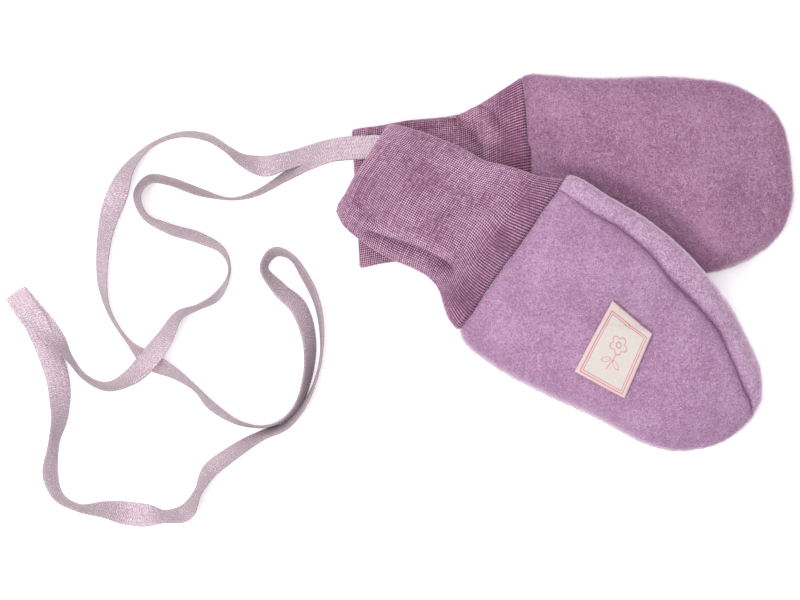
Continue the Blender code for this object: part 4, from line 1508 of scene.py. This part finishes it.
@dataclass
class Tape:
    """The flat woven tape that joins the cuffs."""

    support: Support
    step: float = 0.36
    around: int = 12
    seed: int = 40
    side_power: float = 0.55
    face_power: float = 0.75
    fullness: float = 0.85
    waver: float = 0.16
    scallop: float = 0.11
    pick: float = 1.02
    cup: float = 0.10

    def strand(self, bends: Sequence[Bend], turn: float) -> tuple[Array, Array]:
        """One strand: a cardinal spline through its bends, at the height where its lower edge
        rests, with its width turned from flat by the lean.

        Args:
            bends: the table of bends.
            turn: 1, or -1 where the tape has been turned over.

        Returns:
            Centre points and width directions.
        """
        rows = np.array([[b.x, b.y, b.lean, b.lift] for b in bends])
        padded = np.vstack([2 * rows[0] - rows[1], rows, 2 * rows[-1] - rows[-2]])
        fine = spline(padded, np.linspace(0.0, len(rows) - 1, (len(rows) - 1) * 24 + 1))
        run = run_length(fine[:, :2])
        want = np.linspace(0.0, run[-1], int(round(run[-1] / self.step)) + 1)
        route = resample(fine, run, want)
        heading = unit(np.gradient(route[:, :2], axis=0))
        side = np.stack([-heading[:, 1], heading[:, 0]], 1) * turn
        lean = np.radians(np.clip(route[:, 2], 0.0, 90.0))
        half = 0.5 * TAPE_WIDTH * np.sin(lean) + 0.5 * TAPE_THICK * np.cos(lean)
        ground = self.support.height(route[:, 0], route[:, 1])
        ground = ground + TAPE_CLEAR * np.clip(ground, 0.0, 1.0)
        height = ground + half + np.maximum(0.0, route[:, 3])
        centre = np.column_stack([route[:, :2], height])
        return centre, np.column_stack([side * np.cos(lean)[:, None], np.sin(lean)])

    def path(self) -> tuple[Array, Array]:
        """The whole tape: out, round its flat fold and back.

        Returns:
            Centre points and width directions.
        """
        out_centre, out_width = self.strand(TAPE_OUT, 1.0)
        back_centre, back_width = self.strand(TAPE_BACK, -1.0)
        corner = np.array(FOLD_AT)
        way = unit(corner - out_centre[-1, :2])
        middle = 0.5 * TAPE_THICK + FOLD_RADIUS
        angle = np.radians(np.linspace(90.0, -90.0, 13))
        bend = np.column_stack([corner + way * FOLD_RADIUS * np.cos(angle)[:, None],
                                middle + FOLD_RADIUS * np.sin(angle)])
        reach = np.linspace(0.0, 1.0, 16)[1:-1, None]
        lead_in = out_centre[-1] + (bend[0] - out_centre[-1]) * reach
        lead_out = bend[-1] + (back_centre[0] - bend[-1]) * reach
        across = np.array([-way[1], way[0], 0.0])
        steady = np.tile(across, (len(bend), 1))
        ease_in = out_width[-1] + (across - out_width[-1]) * reach
        ease_out = across + (back_width[0] - across) * reach
        return (np.vstack([out_centre, lead_in, bend, lead_out, back_centre]),
                np.vstack([out_width, ease_in, steady, ease_out, back_width]))

    def build(self, finish: bpy.types.Material) -> bpy.types.Object:
        """Sweeps a flat oval along the path, a little cupped and uneven.

        Args:
            finish: finish of the tape.

        Returns:
            The tape's object.
        """
        centre, width = self.path()
        along = unit(np.gradient(centre, axis=0))
        for _ in range(3):
            along[1:-1] = unit(0.25 * along[:-2] + 0.5 * along[1:-1] + 0.25 * along[2:])
        wide = unit(width - (width * along).sum(1, keepdims=True) * along)
        thick = np.cross(along, wide)
        angle = np.linspace(0.0, TURN, self.around, endpoint=False)
        a = signed_power(np.cos(angle), self.side_power) * 0.5 * TAPE_WIDTH
        b = signed_power(np.sin(angle), self.face_power) * 0.5 * TAPE_THICK * self.fullness
        run = run_length(centre)
        line = np.column_stack([run, 0 * run, 0 * run])
        waver = self.waver * noise(line, 6.0, self.seed)
        scallop = self.scallop * np.sin(run * self.pick * TURN)
        cup = self.cup + self.cup * noise(line, 23.0, self.seed + 1)
        bow = cup[:, None] * (1.0 - (2 * a / TAPE_WIDTH) ** 2)[None] * 2.0
        spread = 1.0 + (scallop / (0.5 * TAPE_WIDTH))[:, None]
        grid = (centre[:, None] + wide[:, None] * (a[None] * spread + waver[:, None])[..., None]
                + thick[:, None] * (b[None] + bow - 0.1)[..., None])
        grid[..., 2] = np.maximum(grid[..., 2], 0.0)
        rows = len(centre)
        quads = ring_faces(rows, self.around, False)
        points = np.vstack([grid.reshape(-1, 3), centre[0], centre[-1]])
        fan = np.arange(self.around)
        ahead = np.roll(fan, -1)
        last = (rows - 1) * self.around
        tris = np.vstack([np.stack([ahead, fan, np.full(self.around, rows * self.around)], 1),
                          np.stack([fan + last, ahead + last,
                                    np.full(self.around, rows * self.around + 1)], 1)])
        uv = np.stack(np.broadcast_arrays(run[:, None], (a / 2.05 + 2.0)[None]), -1).reshape(-1, 2)
        uv = np.vstack([uv, uv[:1], uv[-1:]])
        tone = 0.12 * noise(points, 14.0, self.seed + 3)
        # Painted shade: stand darkens the tone of stretches standing on edge and greys them in the
        # finish.
        stand = np.abs(wide[:, 2]) ** 1.5
        stand = np.append(np.repeat(stand, self.around), [0.0, 0.0])
        piece = write_piece("tape_string", points, quads, tris, uv,
                            {"tone": tone + 0.05 - 0.72 * stand, "stand": stand}, finish)
        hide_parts("tape")
        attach(piece, "root")
        LOG.info("tape is %.0f mm long", run[-1])
        return piece


# Label

@dataclass
class Label:
    """The small woven label: a cream ground, a double border and a plain little flower."""

    skin: Skin
    rows: int = 150
    columns: int = 208
    wide: float = 19.5
    tall: float = 27.0
    thick: float = 0.7
    gap: float = 0.55
    side_margin: float = 1.5
    head_margin: float = 2.6
    foot_margin: float = 1.2
    border_gap: float = 0.80
    petal_reach: float = 2.1
    petal_swing: float = 1.25
    eye: float = 0.95
    cream: tuple[float, float, float] = (0.705, 0.650, 0.600)
    blush: tuple[float, float, float] = (0.760, 0.560, 0.580)
    rose: tuple[float, float, float] = (0.680, 0.215, 0.285)

    def patch(self) -> tuple[Array, Array, Array]:
        """The label's places on the panel, as a straight blend of its four corners.

        Returns:
            Points of the panel under it, and the two shares across it.
        """
        s, t = np.meshgrid(np.linspace(0, 1, self.rows), np.linspace(0, 1, self.columns),
                           indexing="ij")
        a, b, c, d = [np.array(p) for p in LABEL_CORNERS]
        place = ((a * (1 - s)[..., None] + b * s[..., None]) * (1 - t)[..., None]
                 + (d * (1 - s)[..., None] + c * s[..., None]) * t[..., None])
        return self.skin.on_top(place[..., 0], place[..., 1]), s, t

    def drawing(self, x: Array, y: Array) -> Array:
        """Ink from 0 to 1: a double border, and a five-petalled flower on a stem with leaves.

        Args:
            x: millimetres across the label.
            y: millimetres along it.

        Returns:
            The ink.
        """
        def line(distance: Array, width: float) -> Array:
            """A soft-edged line about a zero distance."""
            return 1.0 - smooth_step(np.abs(distance), width * 0.55, width)

        edge = np.minimum(
            np.minimum(x - self.side_margin, self.wide - self.side_margin - x),
            np.minimum(y - self.head_margin, self.tall - self.foot_margin - y))
        ink = np.maximum(line(edge, 0.26), line(edge - self.border_gap, 0.20))
        cx, cy = 0.50 * self.wide, 0.42 * self.tall
        r, angle = np.hypot(x - cx, y - cy), np.arctan2(y - cy, x - cx)
        petals = self.petal_reach + self.petal_swing * np.abs(np.cos(2.5 * angle))
        ink = np.maximum(ink, line(r - petals, 0.30) * 0.9)
        ink = np.maximum(ink, line(r - self.eye, 0.28) * 0.9)
        stem = line(x - cx - 0.5 * np.sin((y - cy) * 0.45), 0.24)
        ink = np.maximum(ink, stem * 0.85 * (y > cy + 3.3) * (y < cy + 9.4))
        for side in (-1.0, 1.0):
            lx, ly = (x - cx) * side - 2.0, y - cy - 6.6
            leaf = np.hypot(lx * 0.8 + ly * 0.6, (ly * 0.8 - lx * 0.6) * 2.2) - 1.7
            ink = np.maximum(ink, line(leaf, 0.28) * 0.85)
        return ink

    def build(self, finish: bpy.types.Material) -> bpy.types.Object:
        """Builds the label as a thin closed pad with rounded edges, drawn in its points.

        Args:
            finish: finish of the label.

        Returns:
            The label's object.
        """
        base, s, t = self.patch()
        normal = grid_normals(base)
        normal = normal * np.sign(normal[..., 2:3])
        x, y = s * self.wide, t * self.tall
        rim = np.minimum(np.minimum(x, self.wide - x), np.minimum(y, self.tall - y))
        pad = self.thick * (0.45 + 0.55 * np.sqrt(np.clip(rim / 0.5, 0.0, 1.0)))
        waves = 0.10 * noise(base, 5.0, 71) + 0.12 * bell(rim - 1.0, 0.7)
        hem = 0.16 * smooth_step(2.3 - y, 0.0, 0.5)
        under = base + normal * self.gap * 0.6
        face = base + normal * (self.gap + pad + waves + hem)[..., None]
        points = np.vstack([face.reshape(-1, 3), under.reshape(-1, 3)])
        quads, tris = shell_faces(self.rows, self.columns, False)
        grain = 0.97 + 0.03 * noise(base, 0.8, 72)
        ink = self.drawing(x, y)[..., None]
        tint = 0.8 * (1.0 - smooth_step(rim, 0.5, 1.6))[..., None]
        ground = np.array(self.cream) * (1 - tint) + np.array(self.blush) * tint
        colour = ground * (1 - ink) + np.array(self.rose) * ink
        colour = colour * grain[..., None]
        rgba = np.concatenate([colour, np.ones((*x.shape, 1))], -1).reshape(-1, 4)
        uv = np.stack([x, y], -1).reshape(-1, 2)
        piece = write_piece("woven_label", points, quads, tris, np.vstack([uv, uv]),
                            {"drawn": np.vstack([rgba, rgba])}, finish)
        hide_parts("label")
        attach(piece, "root")
        return piece


# Studio

class Lamp(NamedTuple):
    """A square soft light: its name, where it hangs in metres, its side and its watts."""

    name: str
    place: tuple[float, float, float]
    size: float
    power: float


LAMPS = (Lamp("key", (-0.80, -0.55, 1.15), 0.5, 8.8), Lamp("fill", (0.0, 1.1, 1.2), 1.2, 7.6),
         Lamp("top", (-0.1, 0.0, 1.9), 1.0, 12.6))


@dataclass
class Studio:
    """Pale floor, soft lights and a camera straight above."""

    view_x: float = -57.51
    view_y: float = -13.13
    view_width: float = 280.0
    height: float = 2.2
    sensor: float = 36.0
    air: float = 0.42
    reach: float = 4.0
    drop: float = -0.00005

    def floor(self) -> None:
        """A plain pale floor under everything."""
        mesh = bpy.data.meshes.new("table")
        corners = ((-1, -1), (1, -1), (1, 1), (-1, 1))
        mesh.from_pydata([(x * self.reach, y * self.reach, self.drop) for x, y in corners], [],
                         [(0, 1, 2, 3)])
        mesh.materials.append(Cloth.FLOOR.value.material())
        table = bpy.data.objects.new("table", mesh)
        bpy.context.scene.collection.objects.link(table)

    def light(self, lamp: Lamp) -> None:
        """Hangs a lamp, aimed at the mittens."""
        shine = bpy.data.lights.new(lamp.name, "AREA")
        shine.size, shine.energy = lamp.size, lamp.power
        holder = bpy.data.objects.new(lamp.name, shine)
        bpy.context.scene.collection.objects.link(holder)
        x, y, z = lamp.place
        aim_x, aim_y = -x - 0.03, -y
        holder.location = lamp.place
        tilt = math.atan2(math.hypot(aim_x, aim_y), z)
        holder.rotation_euler = (tilt, 0.0, math.atan2(aim_y, aim_x) - math.pi / 2)

    def camera(self) -> None:
        """A long lens looking straight down on the middle of the layout."""
        lens = bpy.data.cameras.new("camera")
        lens.sensor_width = self.sensor
        lens.lens = self.sensor * self.height / (self.view_width * MM)
        lens.clip_end = 20.0
        holder = bpy.data.objects.new("camera", lens)
        holder.location = (self.view_x * MM, self.view_y * MM, self.height)
        bpy.context.scene.collection.objects.link(holder)
        bpy.context.scene.camera = holder

    def build(self) -> None:
        """Sets the plain display curve, floor, lights, air and camera."""
        bpy.context.scene.view_settings.view_transform = "Standard"
        self.floor()
        for lamp in LAMPS:
            self.light(lamp)
        world = bpy.data.worlds.new("air")
        world.use_nodes = True
        back = world.node_tree.nodes["Background"]
        back.inputs["Color"].default_value = (1.0, 1.0, 1.0, 1.0)
        back.inputs["Strength"].default_value = self.air
        bpy.context.scene.world = world
        self.camera()


# The pair

def tape_tops(tape: Tape) -> Array:
    """Points of the tape's upper face where it passes under the upper cuff."""
    centre, _ = tape.path()
    near = centre[centre[:, 0] > -84.0][::6]
    return np.vstack([near + [0.0, dy, 0.5 * TAPE_THICK] for dy in (-4.0, 0.0, 4.0)])


def main() -> None:
    """Builds the studio, then every piece in order."""
    logging.basicConfig(level=logging.INFO, format="%(name)s: %(message)s")
    knit_lower = Skin(LOWER, LOWER_CUFF, bow=LOWER_BOW, bow_rows=2.0, bow_at_end=True)
    bag_lower = Skin(LOWER, LOWER_BODY, LOWER_TIP, LOWER_BOW, 1.0, False, PRESS_LINE)
    on_cuff = Support(knit_lower.tops())
    tape = Tape(on_cuff)
    beneath = Support(np.vstack([bag_lower.tops(), knit_lower.tops(), tape_tops(tape)]))
    knit_upper = Skin(UPPER, UPPER_CUFF, support=beneath)
    bag_upper = Skin(UPPER, UPPER_BODY, UPPER_TIP, support=beneath)

    upper_fleece, upper_nap = Cloth.UPPER_FLEECE.value.material(), Cloth.UPPER_NAP.value.material()
    lower_fleece, lower_nap = Cloth.LOWER_FLEECE.value.material(), Cloth.LOWER_NAP.value.material()
    Studio().build()
    tape.build(Cloth.TAPE.value.material())
    Panel("rear_panel_back", bag_lower, True, seed=11).build(
        lower_fleece, lower_nap, "rear_back_panel")
    Panel("rear_panel_palm", bag_lower, False, seed=21, fibres=10000).build(
        lower_fleece, lower_nap, "rear_palm_panel")
    # Painted light: shade darkens the front's back panel and lightens its palm panel.
    Panel("front_panel_back", bag_upper, True, seed=31,
          keep_clear=np.array(LABEL_CORNERS), shade=-0.14).build(
              upper_fleece, upper_nap, "front_back_panel")
    Panel("front_panel_palm", bag_upper, False, seed=51, fibres=18000, shade=0.24).build(
        upper_fleece, upper_nap, "front_palm_panel")
    Cuff("rear_knit_cuff", knit_lower, LOWER_CREASES, seed=61).build(
        Cloth.LOWER_KNIT.value.material(), "rear_cuff")
    Cuff("front_knit_cuff", knit_upper, UPPER_CREASES, seed=67).build(
        Cloth.UPPER_KNIT.value.material(), "front_cuff")
    Label(bag_upper).build(Cloth.LABEL.value.material())


if __name__ == "__main__":
    main()
